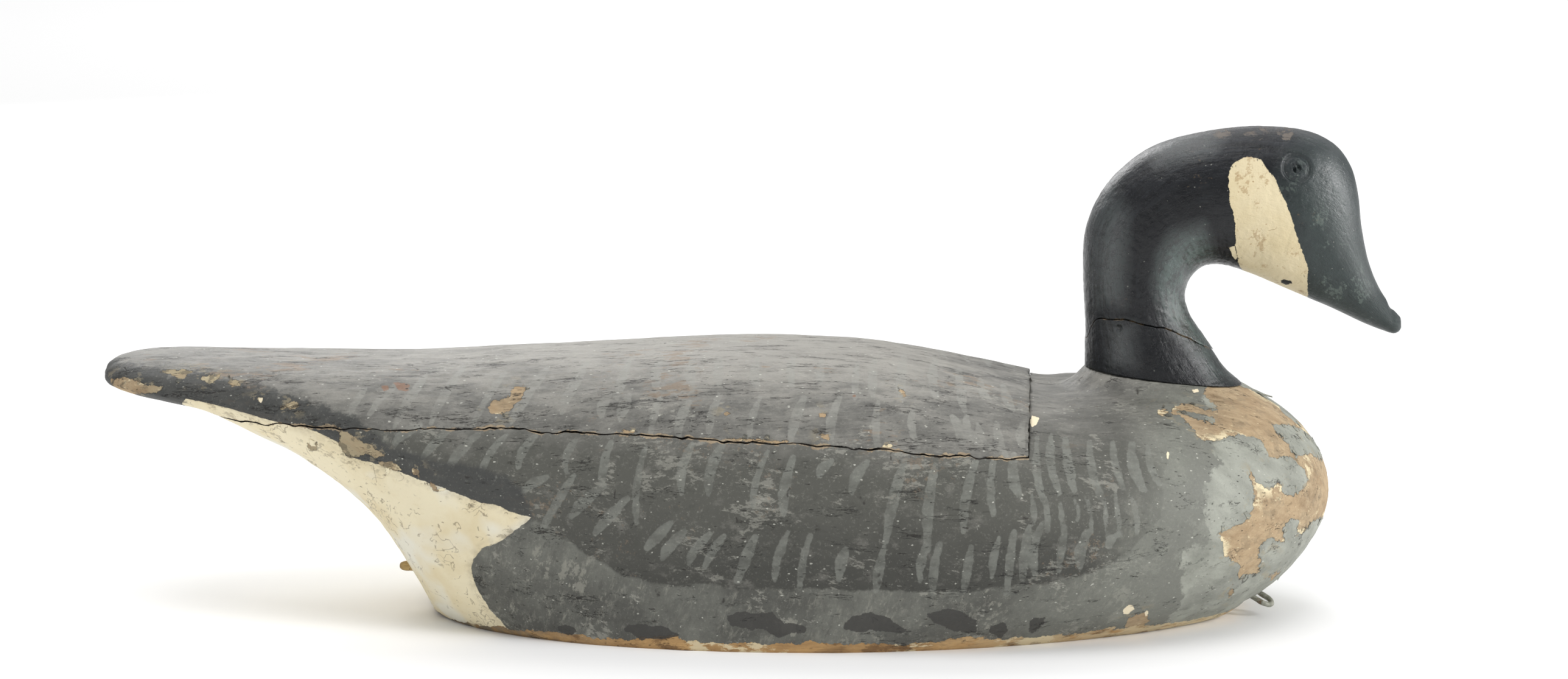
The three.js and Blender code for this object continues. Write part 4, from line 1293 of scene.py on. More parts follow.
def alongAxis(axis):
    # how far forward (0), left (1) or up (2) a point lies, in metres
    return addNode("ShaderNodeSeparateXYZ", {0: objectPoint()}).outputs[axis]


def vectorOf(x=0.0, y=0.0, z=0.0):
    return addNode("ShaderNodeCombineXYZ", {0: x, 1: y, 2: z}).outputs[0]


def combine(operation, first, second):
    key = "Scale" if operation == "SCALE" else 1
    return addNode("ShaderNodeVectorMath", {0: first, key: second}, operation=operation).outputs[0]


def noise(point, size, detail=3.0, rough=0.55, distortion=0.0):
    # the size is that of one blotch, in millimetres
    inputs = {"Vector": point, "Scale": 1000 / size, "Detail": detail, "Roughness": rough,
              "Distortion": distortion}
    return addNode("ShaderNodeTexNoise", inputs).outputs["Fac"]


def sizedNoise(point, size, detail, rough):
    # the same with its size from a group's input
    inputs = {"Vector": point, "Scale": calculate("DIVIDE", 1000.0, size), "Detail": detail,
              "Roughness": rough}
    return addNode("ShaderNodeTexNoise", inputs).outputs["Fac"]


def field(name):
    return addNode("ShaderNodeAttribute", attribute_name=name).outputs["Fac"]


def newGroup(name, inputs, outputs):
    tree = bpy.data.node_groups.new(name, "ShaderNodeTree")
    for title, value in inputs.items():
        kind = "NodeSocketColor" if isinstance(value, tuple) else "NodeSocketFloat"
        tree.interface.new_socket(title, in_out="INPUT", socket_type=kind).default_value = value
    for title in outputs:
        kind = "NodeSocketColor" if title == "Color" else "NodeSocketFloat"
        tree.interface.new_socket(title, in_out="OUTPUT", socket_type=kind)
    building["tree"] = tree
    return tree.nodes.new("NodeGroupInput").outputs, tree.nodes.new("NodeGroupOutput").inputs


def putOut(made, **values):
    # the group's results, joined to its outputs
    for title, value in values.items():
        building["tree"].links.new(value, made[title])
    return building["tree"]


def useGroup(group, **values):
    return addNode("ShaderNodeGroup", values, node_tree=group).outputs


def makeRaggedEdge():
    # a crisp torn or brushed edge where a distance in millimetres crosses zero
    given, made = newGroup(
        "raggedEdge", {"Distance": 0.0, "Ragged": 1.0, "Size": 5.0, "Softness": 0.2}, ["Mask"])
    tear = sizedNoise(objectPoint(), given["Size"], 6.0, 0.68)
    moved = times(remap(tear, 0.22, 0.78, -1.0, 1.0), given["Ragged"])
    reached = total(given["Distance"], moved)
    below = times(given["Softness"], -1.0)
    return putOut(made, Mask=remap(reached, below, given["Softness"]))


def drawnOut(given, point=None):
    # a point for marks that lean and are drawn out, by their group's inputs
    lean = vectorOf(y=given["Lean"])
    long = vectorOf(given["Long"], 1.0, 1.0)
    inputs = {"Vector": point or objectPoint(), "Scale": long, "Rotation": lean}
    return addNode("ShaderNodeMapping", inputs, vector_type="TEXTURE").outputs[0]


def makeScuffs():
    # dry scuffed marks: a fine rough noise that shows where a coarse one lets it
    given, made = newGroup(
        "scuffs", {"Size": 4.0, "Patch": 45.0, "Amount": 0.3, "Long": 1.0, "Lean": 0.0}, ["Mask"])
    fine = sizedNoise(drawnOut(given), given["Size"], 6.0, 0.75)
    coarse = sizedNoise(objectPoint(shift=(0.31, 0.17, 0.4)), given["Patch"], 3.0, 0.5)
    share = times(remap(coarse, 0.4, 0.68), given["Amount"])
    limit = calculate("SUBTRACT", 0.8, share)
    return putOut(made, Mask=remap(fine, limit, total(limit, 0.035)))


def makeFlecks():
    # small separate marks: some cells of a Voronoi pattern hold one each, drawn out along the grain
    given, made = newGroup(
        "flecks", {"Radius": 0.5, "Spacing": 3.0, "Share": 0.3, "Long": 1.0, "Lean": 0.0}, ["Mask"])
    wobble = addNode("ShaderNodeTexNoise", {"Vector": objectPoint(), "Scale": 420.0, "Detail": 2.0})
    centred = combine("SUBTRACT", wobble.outputs["Color"], (0.5, 0.5, 0.5))
    small = combine("SCALE", centred, 0.0016)
    point = combine("ADD", objectPoint(), small)
    cells = addNode("ShaderNodeTexVoronoi", {
        "Vector": drawnOut(given, point), "Scale": calculate("DIVIDE", 1000.0, given["Spacing"])})
    chance = addNode("ShaderNodeSeparateColor", {0: cells.outputs["Color"]}).outputs[0]
    least = calculate("SUBTRACT", 1.0, given["Share"])
    radius = times(remap(chance, least, 1.0), given["Radius"])
    away = times(cells.outputs["Distance"], given["Spacing"])
    inside = calculate("SUBTRACT", radius, away)
    return putOut(made, Mask=remap(inside, 0.0, 0.09))


def makeBareWood():
    # bare old pine: long streaks along the body, fine fibres and grime in blotches
    given, made = newGroup(
        "bareWood", {"Pale": shade(190, 166, 136), "Dark": shade(140, 112, 84), "Streak": 4.0},
        ["Color", "Height"])
    streak = sizedNoise(objectPoint((9, 1, 1)), given["Streak"], 5.0, 0.7)
    fibre = noise(objectPoint((14, 1, 1), (0.3, 0, 0)), 0.55, 3.0)
    blotch = noise(objectPoint((1.6, 1, 1), (0, 0.4, 0)), 15, 5.0, 0.65)
    amount = total(remap(streak, 0.42, 0.7, 0.0, 0.5), remap(blotch, 0.46, 0.72, 0.0, 0.5))
    colour = mixColour(amount, given["Pale"], given["Dark"])
    colour = mixColour(remap(fibre, 0.54, 0.68, 0.0, 0.4), colour, given["Dark"])
    return putOut(made, Color=colour, Height=mixValue(0.5, streak, fibre))


def makeHairCracks():
    # fine broken lines that wander over old paint, where a slow noise passes through its middle
    given, made = newGroup("hairCracks", {"Size": 30.0, "Width": 0.3, "Amount": 0.5}, ["Mask"])
    lines = []
    for turn, shift in (((0.4, 0.7, 0.9), 0.1), ((1.3, 0.2, 2.2), 0.7)):
        wave = sizedNoise(objectPoint((1.6, 1, 1), (shift, 0, 0), turn), given["Size"], 4.0, 0.5)
        away = calculate("ABSOLUTE", calculate("SUBTRACT", wave, 0.5))
        width = calculate("DIVIDE", given["Width"], given["Size"])
        lines.append(remap(away, 0.0, width, 1.0, 0.0))
    both = calculate("MAXIMUM", *lines)
    shown = noise(objectPoint(shift=(0.2, 0.5, 0)), 14, 3.0)
    limit = calculate("SUBTRACT", 0.75, times(given["Amount"], 0.3))
    shown = remap(shown, limit, total(limit, 0.04))
    return putOut(made, Mask=times(both, shown))


def makeGrainCracks():
    # thin cracks along the grain that open and close on their way
    given, made = newGroup(
        "grainCracks", {"Size": 3.0, "Width": 0.05, "Amount": 0.5, "Patch": 9.0}, ["Mask"])
    where = sizedNoise(objectPoint((3.5, 1, 1), (0.5, 0, 0)), given["Patch"], 4.0, 0.6)
    limit = calculate("SUBTRACT", 0.8, times(given["Amount"], 0.4))
    opened = remap(where, limit, total(limit, 0.16))
    width = times(calculate("DIVIDE", given["Width"], given["Size"]), opened)
    lines = []
    for stretch, shift in ((7, 0.1), (12, 0.6)):
        point = objectPoint((stretch, 1, 1), (shift, 0, 0))
        wave = sizedNoise(point, given["Size"], 5.0, 0.6)
        away = calculate("ABSOLUTE", calculate("SUBTRACT", wave, 0.5))
        lines.append(remap(calculate("SUBTRACT", width, away), 0.0, 0.008))
    return putOut(made, Mask=calculate("MAXIMUM", *lines))


raggedEdge = makeRaggedEdge()
scuffs = makeScuffs()
flecks = makeFlecks()
bareWood = makeBareWood()
hairCracks = makeHairCracks()
grainCracks = makeGrainCracks()

bodyPaint = shades(
    back=(100, 99, 94),
    backPale=(136, 134, 127),
    backDark=(70, 69, 65),
    backBrown=(126, 108, 88),
    # the pale top of the back: worn paint and a painted highlight; also the tone of the pale hairs
    crest=(150, 147, 139),
    side=(79, 79, 73),
    lowSide=(60, 60, 55),
    flank=(104, 105, 98),
    flankPale=(146, 145, 134),
    flankDark=(76, 76, 71),
    stroke=(122, 124, 117),
    boardStroke=(138, 138, 131),
    chalk=(158, 157, 147),
    breast=(125, 127, 118),
    breastPale=(150, 152, 142),
    breastDark=(100, 101, 95),
    breastWash=(108, 109, 102),
    cream=(228, 218, 188),
    creamOld=(212, 195, 154),
    creamCool=(228, 225, 210),
    black=(60, 61, 59),
    primer=(212, 198, 164),
    chip=(230, 217, 188),
    wood=(169, 150, 121),
    woodDark=(114, 93, 68),
    woodWarm=(174, 146, 110),
    rust=(124, 90, 66),
    khaki=(142, 132, 108),
    khakiPale=(158, 147, 120),
    khakiDark=(92, 86, 72),
    edgeWood=(186, 150, 100),
    edgeDark=(104, 76, 48),
    blob=(58, 57, 54),
    grime=(98, 80, 56),
    speck=(188, 188, 178),
    gap=(30, 25, 20),
)


def tinted(colour, value, low, high, strength, over):
    # a tone laid on as a value goes from low to high
    return mixColour(remap(value, low, high, 0.0, strength), colour, over)


def finishMaterial(colour, roughness, height, gloss=0.42):
    bump = addNode("ShaderNodeBump", {"Strength": 1.0, "Distance": 0.001, "Height": height})
    shader = addNode("ShaderNodeBsdfPrincipled", {
        "Base Color": colour, "Roughness": roughness, "Normal": bump.outputs[0],
        "Specular IOR Level": gloss})
    addNode("ShaderNodeOutputMaterial", {0: shader.outputs[0]})


def newMaterial(name):
    material = bpy.data.materials.new(name)
    material.use_nodes = True
    material.node_tree.nodes.clear()
    building["tree"] = material.node_tree
    return material


def edgeOf(name, ragged, size, soft, lift=0.0):
    distance = field(name)
    if lift:
        distance = total(distance, lift)
    return useGroup(raggedEdge, Distance=distance, Ragged=ragged, Size=size, Softness=soft)[0]


def layOver(colour, mask, strength, over):
    return mixColour(times(mask, strength) if strength < 1 else mask, colour, over)


def marked(colour, group, strength, over, **values):
    return layOver(colour, useGroup(group, **values)[0], strength, over)


def greyPaint(isBoard, height):
    # the weathered grey of the back, with fine streaks and hairs along the grain; its top is painted paler,
    # partly worn paint and partly a painted highlight
    tone = bodyPaint
    streak = noise(objectPoint((6, 1, 1)), 1.5, 6.0, 0.8)
    hairs = noise(objectPoint((10, 1, 1), (0.7, 0, 0)), 0.7, 5.0, 0.75)
    broad = noise(objectPoint((2, 1, 1), (0.2, 0, 0)), 15, 6.0, 0.7)
    grey = tinted(tone["back"], broad, 0.46, 0.62, 0.55, tone["backPale"])
    grey = tinted(grey, broad, 0.46, 0.32, 0.6, tone["backDark"])
    # the top of the back is painted paler: partly weathered paint, partly a painted highlight where light
    # from above falls, less of it towards the tail
    crestHeight = total(height, remap(broad, 0.25, 0.75, -0.012, 0.012))
    ahead = alongAxis(0)
    crest = times(remap(crestHeight, 0.138, 0.158, 0.0, 0.7), remap(ahead, -0.4, -0.2, 0.25, 1.0))
    grey = mixColour(crest, grey, tone["crest"])
    strength = 1.0 if isBoard else 0.6
    grey = tinted(grey, streak, 0.56, 0.64, 0.45 * strength, tone["backPale"])
    grey = tinted(grey, streak, 0.4, 0.36, 0.5 * strength, tone["backDark"])
    grey = tinted(grey, hairs, 0.62, 0.66, 0.45 * strength, tone["crest"])
    grey = tinted(grey, hairs, 0.37, 0.34, 0.6 * strength, tone["black"])
    worn, sooty = (0.7, 0.25) if isBoard else (0.4, 0.5)
    grey = marked(grey, scuffs, worn, tone["backBrown"], Size=5.0, Patch=70.0, Amount=0.32, Long=3.0)
    grey = marked(grey, scuffs, 0.55, tone["chalk"], Size=3.0, Patch=36.0, Amount=0.27, Long=2.5)
    grey = marked(grey, scuffs, sooty, tone["backDark"],
                  Size=5.0, Patch=28.0, Amount=0.33, Long=2.2, Lean=-0.35)
    return grey, streak


def flankPaint(cloud):
    # the lower flank, scrubbed with pale strokes that lean towards the tail
    tone = bodyPaint
    brushed = noise(objectPoint((3.2, 1, 1), (0.1, 0, 0), (0, -1.25, 0)), 3.6, 6.0, 0.78)
    flank = mixColour(remap(cloud, 0.38, 0.64), tone["flankDark"], tone["flank"])
    patches = remap(noise(objectPoint(shift=(0.9, 0, 0)), 30, 4.0, 0.6), 0.4, 0.62, 0.15, 0.75)
    pale = times(remap(brushed, 0.52, 0.66), patches)
    flank = mixColour(pale, flank, tone["flankPale"])
    flank = tinted(flank, brushed, 0.44, 0.34, 0.7, tone["flankDark"])
    flank = marked(flank, scuffs, 0.55, tone["flankPale"],
                   Size=7.0, Patch=34.0, Amount=0.34, Long=2.0, Lean=-1.2)
    flank = marked(flank, scuffs, 0.5, tone["chalk"], Size=2.6, Patch=26.0, Amount=0.32, Long=2.0, Lean=0.4)
    ahead = remap(field("breastMm"), -110.0, -20.0, 0.0, 0.6)
    return mixColour(ahead, flank, tone["breast"])


def sidePaint(grey, height, cloud):
    # the dark feathered side: darker below, and the back's grey above
    tone = bodyPaint
    shiftUp = remap(cloud, 0.2, 0.8, -0.02, 0.02)
    low = remap(total(height, shiftUp), 0.088, 0.05)
    side = mixColour(low, tone["side"], tone["lowSide"])
    side = mixColour(remap(total(height, shiftUp), 0.112, 0.138), side, grey)
    mottled = noise(objectPoint((1.5, 1, 1), (0.3, 0, 0)), 9, 6.0, 0.72)
    side = tinted(side, mottled, 0.55, 0.68, 0.35, tone["backPale"])
    side = tinted(side, mottled, 0.43, 0.3, 0.5, tone["lowSide"])
    for size, patch, amount, long, lean in ((4.5, 62.0, 0.3, 2.4, 0.0), (2.2, 30.0, 0.3, 3.0, 0.25)):
        side = marked(side, scuffs, 0.42, tone["chalk"],
                      Size=size, Patch=patch, Amount=amount, Long=long, Lean=lean)
    return marked(side, scuffs, 0.4, tone["backBrown"], Size=4.0, Patch=60.0, Amount=0.28)


def scratched(colour):
    # thin pale scratches and knocks, in three directions
    nearby = noise(objectPoint(shift=(0.15, 0.6, 0)), 34, 3.0)
    for lean, spacing, share in ((0.15, 3.4, 0.5), (-0.5, 4.0, 0.42), (1.2, 4.4, 0.36)):
        marks = useGroup(flecks, Radius=0.3, Spacing=spacing, Share=share, Long=9.0, Lean=lean)[0]
        marks = times(marks, remap(nearby, 0.44, 0.62))
        colour = layOver(colour, marks, 0.6, bodyPaint["speck"])
    return colour


def breastPaint(cloud):
    # the pale breast, with brushed darker patches
    tone = bodyPaint
    wash = noise(objectPoint((2.5, 1, 1), (0.5, 0, 0), (0, 0.6, 0)), 13, 5.0, 0.6)
    breast = mixColour(remap(wash, 0.35, 0.65), tone["breast"], tone["breastPale"])
    breast = tinted(breast, cloud, 0.56, 0.62, 0.35, tone["breastDark"])
    return marked(breast, scuffs, 0.5, tone["breastDark"],
                  Size=4.0, Patch=30.0, Amount=0.24, Long=1.6, Lean=0.5)


def creamPaint(cloud):
    tone = bodyPaint
    cool = noise(objectPoint(shift=(0.6, 0, 0)), 40, 2.0)
    cream = tinted(tone["cream"], cloud, 0.42, 0.72, 0.75, tone["creamOld"])
    cream = mixColour(remap(cool, 0.52, 0.64), cream, tone["creamCool"])
    cream = marked(cream, scuffs, 0.4, tone["grime"], Size=3.0, Patch=20.0, Amount=0.3, Long=2.0)
    cream = marked(cream, flecks, 0.6, tone["grime"], Radius=0.42, Spacing=2.2, Share=0.5, Long=3.0)
    cream = marked(cream, hairCracks, 0.7, tone["grime"], Size=22.0, Width=0.16, Amount=0.8)
    rubbed = noise(objectPoint((1.5, 1, 1), (0.8, 0, 0)), 5, 6.0, 0.75)
    cream = tinted(cream, rubbed, 0.56, 0.72, 0.35, tone["creamOld"])
    edge = remap(field("creamMm"), 5.0, 0.0, 0.0, 0.35)
    return mixColour(times(edge, remap(rubbed, 0.4, 0.6)), cream, tone["grime"])


def peeledWood(isBoard, cloud, dabs):
    # the timber where the paint has come off, with what is left on it of primer, grime and old khaki
    tone = bodyPaint
    grained = useGroup(bareWood, Pale=tone["wood"], Dark=tone["woodDark"])
    peel = edgeOf("peelMm", 1.9, 4.0, 0.1)
    primed = times(remap(field("peelMm"), 6.0, 1.0),
                   useGroup(scuffs, Size=4.0, Patch=24.0, Amount=0.42, Long=2.4, Lean=0.3)[0])
    warm = remap(cloud, 0.42, 0.6, 0.0, 0.5 if isBoard else 0.25)
    timber = mixColour(warm, grained[0], tone["woodWarm"])
    timber = mixColour(primed, timber, tone["primer"])
    timber = marked(timber, flecks, 0.55, tone["primer"], Radius=0.5, Spacing=2.0, Share=0.6, Long=4.0)
    timber = marked(timber, scuffs, 0.55, tone["grime"], Size=3.0, Patch=40.0, Amount=0.27)
    forward = alongAxis(0)
    nearTail = times(remap(forward, -0.25, -0.28), remap(forward, -0.413, -0.4),
                     remap(dabs, 0.3, 0.55, 0.35, 0.85))
    timber = mixColour(nearTail, timber, tone["khakiPale"])
    residue = useGroup(scuffs, Size=1.7, Patch=7.0, Amount=0.46, Long=2.2, Lean=0.2)[0]
    timber = layOver(timber, times(residue, remap(forward, -0.2, -0.3, 0.3, 0.8)), 0.8,
                     tone["khakiDark"])
    return timber, grained, peel, forward


def wornBase(forward, dabs):
    # the rubbed edge along the flat underside
    tone = bodyPaint
    worn = useGroup(bareWood, Pale=tone["edgeWood"], Dark=tone["edgeDark"], Streak=6.0)
    primedEdge = useGroup(scuffs, Size=4.0, Patch=30.0, Amount=0.42, Long=3.0)[0]
    edge = layOver(worn[0], primedEdge, 0.85, tone["primer"])
    edge = marked(edge, scuffs, 0.7, tone["edgeDark"], Size=3.5, Patch=24.0, Amount=0.4, Long=4.0)
    paler = times(remap(forward, 0.04, 0.2), remap(dabs, 0.36, 0.5, 0.0, 0.8))
    edge = mixColour(paler, edge, tone["primer"])
    darker = times(remap(forward, -0.12, -0.22), remap(dabs, 0.4, 0.55, 0.2, 0.8))
    return mixColour(darker, edge, tone["flank"])


def paintedBody(name, isBoard):
    material = newMaterial(name)
    tone = bodyPaint
    cloud = noise(objectPoint(), 36, 5.0, 0.62)
    fine = noise(objectPoint(), 1.8, 5.0, 0.7)
    dabs = noise(objectPoint((2, 1, 1)), 6, 4.0, 0.6)
    height = alongAxis(2)
    colour, streak = greyPaint(isBoard, height)
    if not isBoard:
        side = sidePaint(colour, height, cloud)
        nearBreast = total(field("breastMm"), remap(cloud, 0.3, 0.7, -16.0, 16.0))
        side = mixColour(remap(nearBreast, -58.0, -16.0, 0.0, 0.9), side, flankPaint(cloud))
        colour = mixColour(edgeOf("sideMm", 4.0, 26.0, 0.8), flankPaint(cloud), side)
    strokes = times(edgeOf("strokeMm", 1.2, 9.0, 0.3), remap(dabs, 0.34, 0.6, 0.22, 0.66))
    colour = mixColour(strokes, colour, tone["boardStroke" if isBoard else "stroke"])
    if not isBoard:
        thin = times(edgeOf("breastMm", 24.0, 24.0, 8.0, 20.0), 0.7)
        colour = mixColour(thin, colour, tone["breastWash"])
        washScuffs = useGroup(scuffs, Size=6.0, Patch=26.0, Amount=0.4, Long=1.5, Lean=-0.7)[0]
        colour = mixColour(times(washScuffs, thin, 0.9), colour, tone["breast"])
        brushed = edgeOf("breastMm", 17.0, 26.0, 1.2)
        colour = mixColour(brushed, colour, breastPaint(cloud))
    black = edgeOf("blackMm", 6.5 if isBoard else 2.6, 10.0, 1.6)
    black = times(black, remap(dabs, 0.3, 0.6, 0.8, 1.0))
    colour = mixColour(black, colour, tone["black"])
    colour = tinted(colour, fine, 0.56, 0.78, 0.28, tone["speck"])
    colour = tinted(colour, fine, 0.44, 0.24, 0.4, tone["black"])
    colour = marked(colour, flecks, 0.7, tone["speck"], Radius=0.55, Spacing=2.6, Share=0.35, Long=1.6)
    colour = scratched(colour)
    cream = edgeOf("creamMm", 0.8, 5.0, 0.12)
    colour = mixColour(cream, colour, creamPaint(cloud))
    cracks = useGroup(hairCracks, Size=46.0, Width=0.5, Amount=0.35)[0]
    colour = layOver(colour, cracks, 0.8, tone["gap"])

    # where the paint has come off
    timber, grained, peel, forward = peeledWood(isBoard, cloud, dabs)
    # a thin dark line along part of each peel's torn edge: painted shadow under the raised edge of the paint
    rim = calculate("SUBTRACT", edgeOf("peelMm", 1.9, 4.0, 0.1, 0.32), peel)
    rim = times(rim, remap(dabs, 0.46, 0.52, 0.0, 0.8))
    halo = useGroup(scuffs, Size=2.2, Patch=9.0, Amount=0.4, Long=2.0)[0]
    halo = times(halo, remap(field("peelMm"), -8.0, -0.5))
    colour = layOver(colour, halo, 0.65, tone["khaki"])
    colour = mixColour(rim, colour, tone["gap"])
    colour = mixColour(peel, colour, timber)
    rusty = edgeOf("rustMm", 1.4, 4.0, 0.15)
    colour = layOver(colour, rusty, 0.8, tone["rust"])
    holes = useGroup(flecks, Radius=0.9, Spacing=2.6, Share=0.7, Long=1.6)[0]
    colour = mixColour(times(holes, rusty), colour, tone["gap"])
    chip = edgeOf("chipMm", 0.5, 3.0, 0.08)
    colour = mixColour(chip, colour, tone["chip"])
    fromSeam = field("fromSeam")
    lips = calculate("SUBTRACT", 0.6, fromSeam)
    colour = marked(colour, raggedEdge, 0.75, grained[0], Distance=lips, Ragged=3.6, Size=13.0, Softness=0.12)
    colour = mixColour(remap(fromSeam, 0.14, 0.03), colour, tone["gap"])
    # a ragged dark band along the seam: partly grime in the joint, partly painted shade standing in for its
    # chipped edges
    chipped = calculate("SUBTRACT", 0.05, fromSeam)
    colour = marked(colour, raggedEdge, 0.9, tone["gap"],
                    Distance=chipped, Ragged=1.5, Size=4.5, Softness=0.12)
    bare = calculate("MAXIMUM", peel, chip)
    if isBoard:
        short = useGroup(flecks, Radius=0.36, Spacing=1.7, Share=0.6, Long=9.0)[0]
        cracked = useGroup(grainCracks, Size=3.2, Width=0.07, Amount=0.68, Patch=8.0)[0]
    else:
        short = useGroup(flecks, Radius=0.34, Spacing=2.0, Share=0.5, Long=9.0)[0]
        cracked = useGroup(grainCracks, Size=4.0, Width=0.07, Amount=0.62, Patch=9.0)[0]
    checks = calculate("MAXIMUM", short, cracked)
    if not isBoard:
        band = edgeOf("edgeMm", 3.8, 14.0, 0.12)
        colour = mixColour(band, colour, wornBase(forward, dabs))
        blobs = edgeOf("blobMm", 1.8, 7.0, 0.15)
        colour = layOver(colour, blobs, 0.92, tone["blob"])
        bare = calculate("MAXIMUM", bare, times(band, 0.7))
    checks = times(checks, calculate("SUBTRACT", 1.0, cream))
    colour = layOver(colour, checks, 0.85, tone["gap"])
    rough = mixValue(bare, remap(fine, 0.3, 0.7, 0.48, 0.7), 0.85)
    relief = total(
        times(fine, 0.26),
        times(dabs, 0.25),
        times(streak, 0.3 if isBoard else 0.12),
        times(cream, 0.16),
        times(strokes, 0.08),
        times(bare, -0.4),
        times(grained[1], bare, 0.3),
        times(checks, -0.6),
        times(cracks, -0.3))
    finishMaterial(colour, rough, relief)
    return material


headPaint = shades(
    black=(8, 10, 14),
    blackWarm=(18, 20, 23),
    brushed=(27, 31, 35),
    # the next two are painted highlight colours on the glossy black
    handled=(46, 57, 55),
    throat=(66, 84, 79),
    faded=(48, 57, 56),
    # the painted sheen on top of the neck
    dusty=(56, 59, 65),
    cheek=(206, 193, 160),
    cheekOld=(200, 185, 148),
    stain=(146, 114, 72),
    crownWood=(110, 103, 96),
    fadeFleck=(112, 124, 116),
    speck=(138, 140, 132),
    rim=(112, 94, 70),
    gap=(14, 12, 11),
)


def paintedHead(name, isHead):
    material = newMaterial(name)
    tone = headPaint
    cloud = noise(objectPoint(), 24, 5.0, 0.62)
    fine = noise(objectPoint(), 1.5, 5.0, 0.7)
    mottle = noise(objectPoint(shift=(0.4, 0.1, 0)), 5.5, 5.0, 0.68)
    along = times(field("alongGrain"), 0.00014)
    girth = [times(field(name), 0.001) for name in ("girthUp", "girthSide")]
    brushed = noise(vectorOf(along, *girth), 2.2, 5.0, 0.7)
    colour = mixColour(remap(cloud, 0.4, 0.7), tone["black"], tone["blackWarm"])
    colour = tinted(colour, brushed, 0.54, 0.7, 0.5, tone["brushed"])
    # the face is paler towards its front: partly thinned paint, partly a painted highlight of the broad sheen
    # on it
    fade = edgeOf("fadeMm", 9.0, 30.0, 14.0)
    fadeShare = times(fade, remap(mottle, 0.25, 0.75, 0.6, 1.0))
    colour = mixColour(fadeShare, colour, tone["faded"])
    worn = useGroup(scuffs, Size=1.8, Patch=15.0, Amount=0.32, Long=1.6, Lean=1.1)[0]
    colour = layOver(colour, times(worn, fade), 0.35, tone["fadeFleck"])
    # painted highlights: a paler greenish colour where the glossy black catches the lights, on the throat,
    # the back and base of the neck, the crown and the face front, weaker on the neck base; these places also
    # get more gloss
    handled = remap(field("handledMm"), -6.0, 7.0)
    rubbedThin = times(handled, remap(total(mottle, brushed), 0.84, 1.16, 0.15, 0.8))
    throat = times(remap(field("girthUp"), 2.0, -14.0), remap(fade, 0.5, 0.0))
    greased = mixColour(throat, tone["handled"], tone["throat"])
    colour = mixColour(times(rubbedThin, 1.0 if isHead else 0.6), colour, greased)
    # a painted sheen, bluish grey, along the top of the neck where light from above falls on the glossy black
    dusty = times(remap(field("girthUp"), 6.0, 24.0), remap(brushed, 0.35, 0.6, 0.0, 0.36))
    colour = mixColour(dusty, colour, tone["dusty"])
    nicks = useGroup(flecks, Radius=0.42, Spacing=3.6, Share=0.55, Long=3.6, Lean=0.9)[0]
    nicks = times(nicks, remap(mottle, 0.44, 0.6))
    colour = layOver(colour, nicks, 0.5, tone["fadeFleck"])
    colour = tinted(colour, fine, 0.62, 0.8, 0.12, tone["speck"])
    colour = marked(colour, flecks, 0.55, tone["speck"], Radius=0.5, Spacing=3.2, Share=0.3, Long=1.0)
    colour = marked(colour, scuffs, 0.35, tone["rim"], Size=3.5, Patch=30.0, Amount=0.2, Long=1.5)
    crown = edgeOf("crownMm", 3.0, 7.0, 0.15)
    crownWorn = useGroup(scuffs, Size=3.0, Patch=12.0, Amount=0.4, Long=2.0)[0]
    crownMask = times(crown, remap(total(crownWorn, mottle), 0.5, 0.62))
    colour = layOver(colour, crownMask, 0.85, tone["crownWood"])
    cheek = edgeOf("cheekMm", 0.9, 3.0, 0.1)
    cheekTone = mixColour(remap(cloud, 0.42, 0.7), tone["cheek"], tone["cheekOld"])
    cheekTone = marked(cheekTone, scuffs, 0.5, tone["stain"],
                       Size=3.0, Patch=12.0, Amount=0.34, Long=1.4, Lean=-0.9)
    cheekTone = marked(cheekTone, flecks, 0.7, tone["stain"], Radius=0.5, Spacing=2.6, Share=0.4, Long=1.6)
    cracks = useGroup(hairCracks, Size=26.0, Width=0.3, Amount=0.6)[0]
    cheekTone = layOver(cheekTone, cracks, 0.5, tone["stain"])
    fringe = useGroup(flecks, Radius=0.6, Spacing=1.7, Share=0.75, Long=3.5, Lean=1.2)[0]
    fringe = times(fringe, remap(field("cheekMm"), 3.4, 0.6))
    cheekTone = layOver(cheekTone, fringe, 0.75, tone["blackWarm"])
    colour = mixColour(cheek, colour, cheekTone)
    dot = edgeOf("dotMm", 0.6, 2.5, 0.1)
    colour = mixColour(dot, colour, mixColour(cheek, tone["cheek"], tone["black"]))
    lips = calculate("SUBTRACT", 0.15, field("fromSeam"))
    colour = marked(colour, raggedEdge, 0.7, tone["rim"], Distance=lips, Ragged=1.0, Size=9.0, Softness=0.1)
    rough = remap(total(mottle, brushed), 0.7, 1.3, 0.14, 0.4)
    rough = mixValue(fade, rough, remap(mottle, 0.3, 0.7, 0.28, 0.44))
    rough = mixValue(cheek, rough, 0.45)
    rough = mixValue(crownMask, rough, 0.8)
    relief = total(
        times(fine, 0.16),
        times(mottle, 0.55),
        times(brushed, 0.4),
        times(nicks, -0.3),
        times(cheek, 0.16),
        times(cracks, cheek, -0.2),
        times(crownMask, -0.2))
    finishMaterial(colour, rough, relief, mixValue(handled, 0.36, 0.9))
    return material


pegPaint = shades(pale=(198, 172, 120), dark=(128, 100, 62), knock=(84, 66, 44), end=(140, 118, 82))
wirePaint = shades(dull=(112, 114, 100), bright=(150, 150, 138), rust=(104, 82, 60))


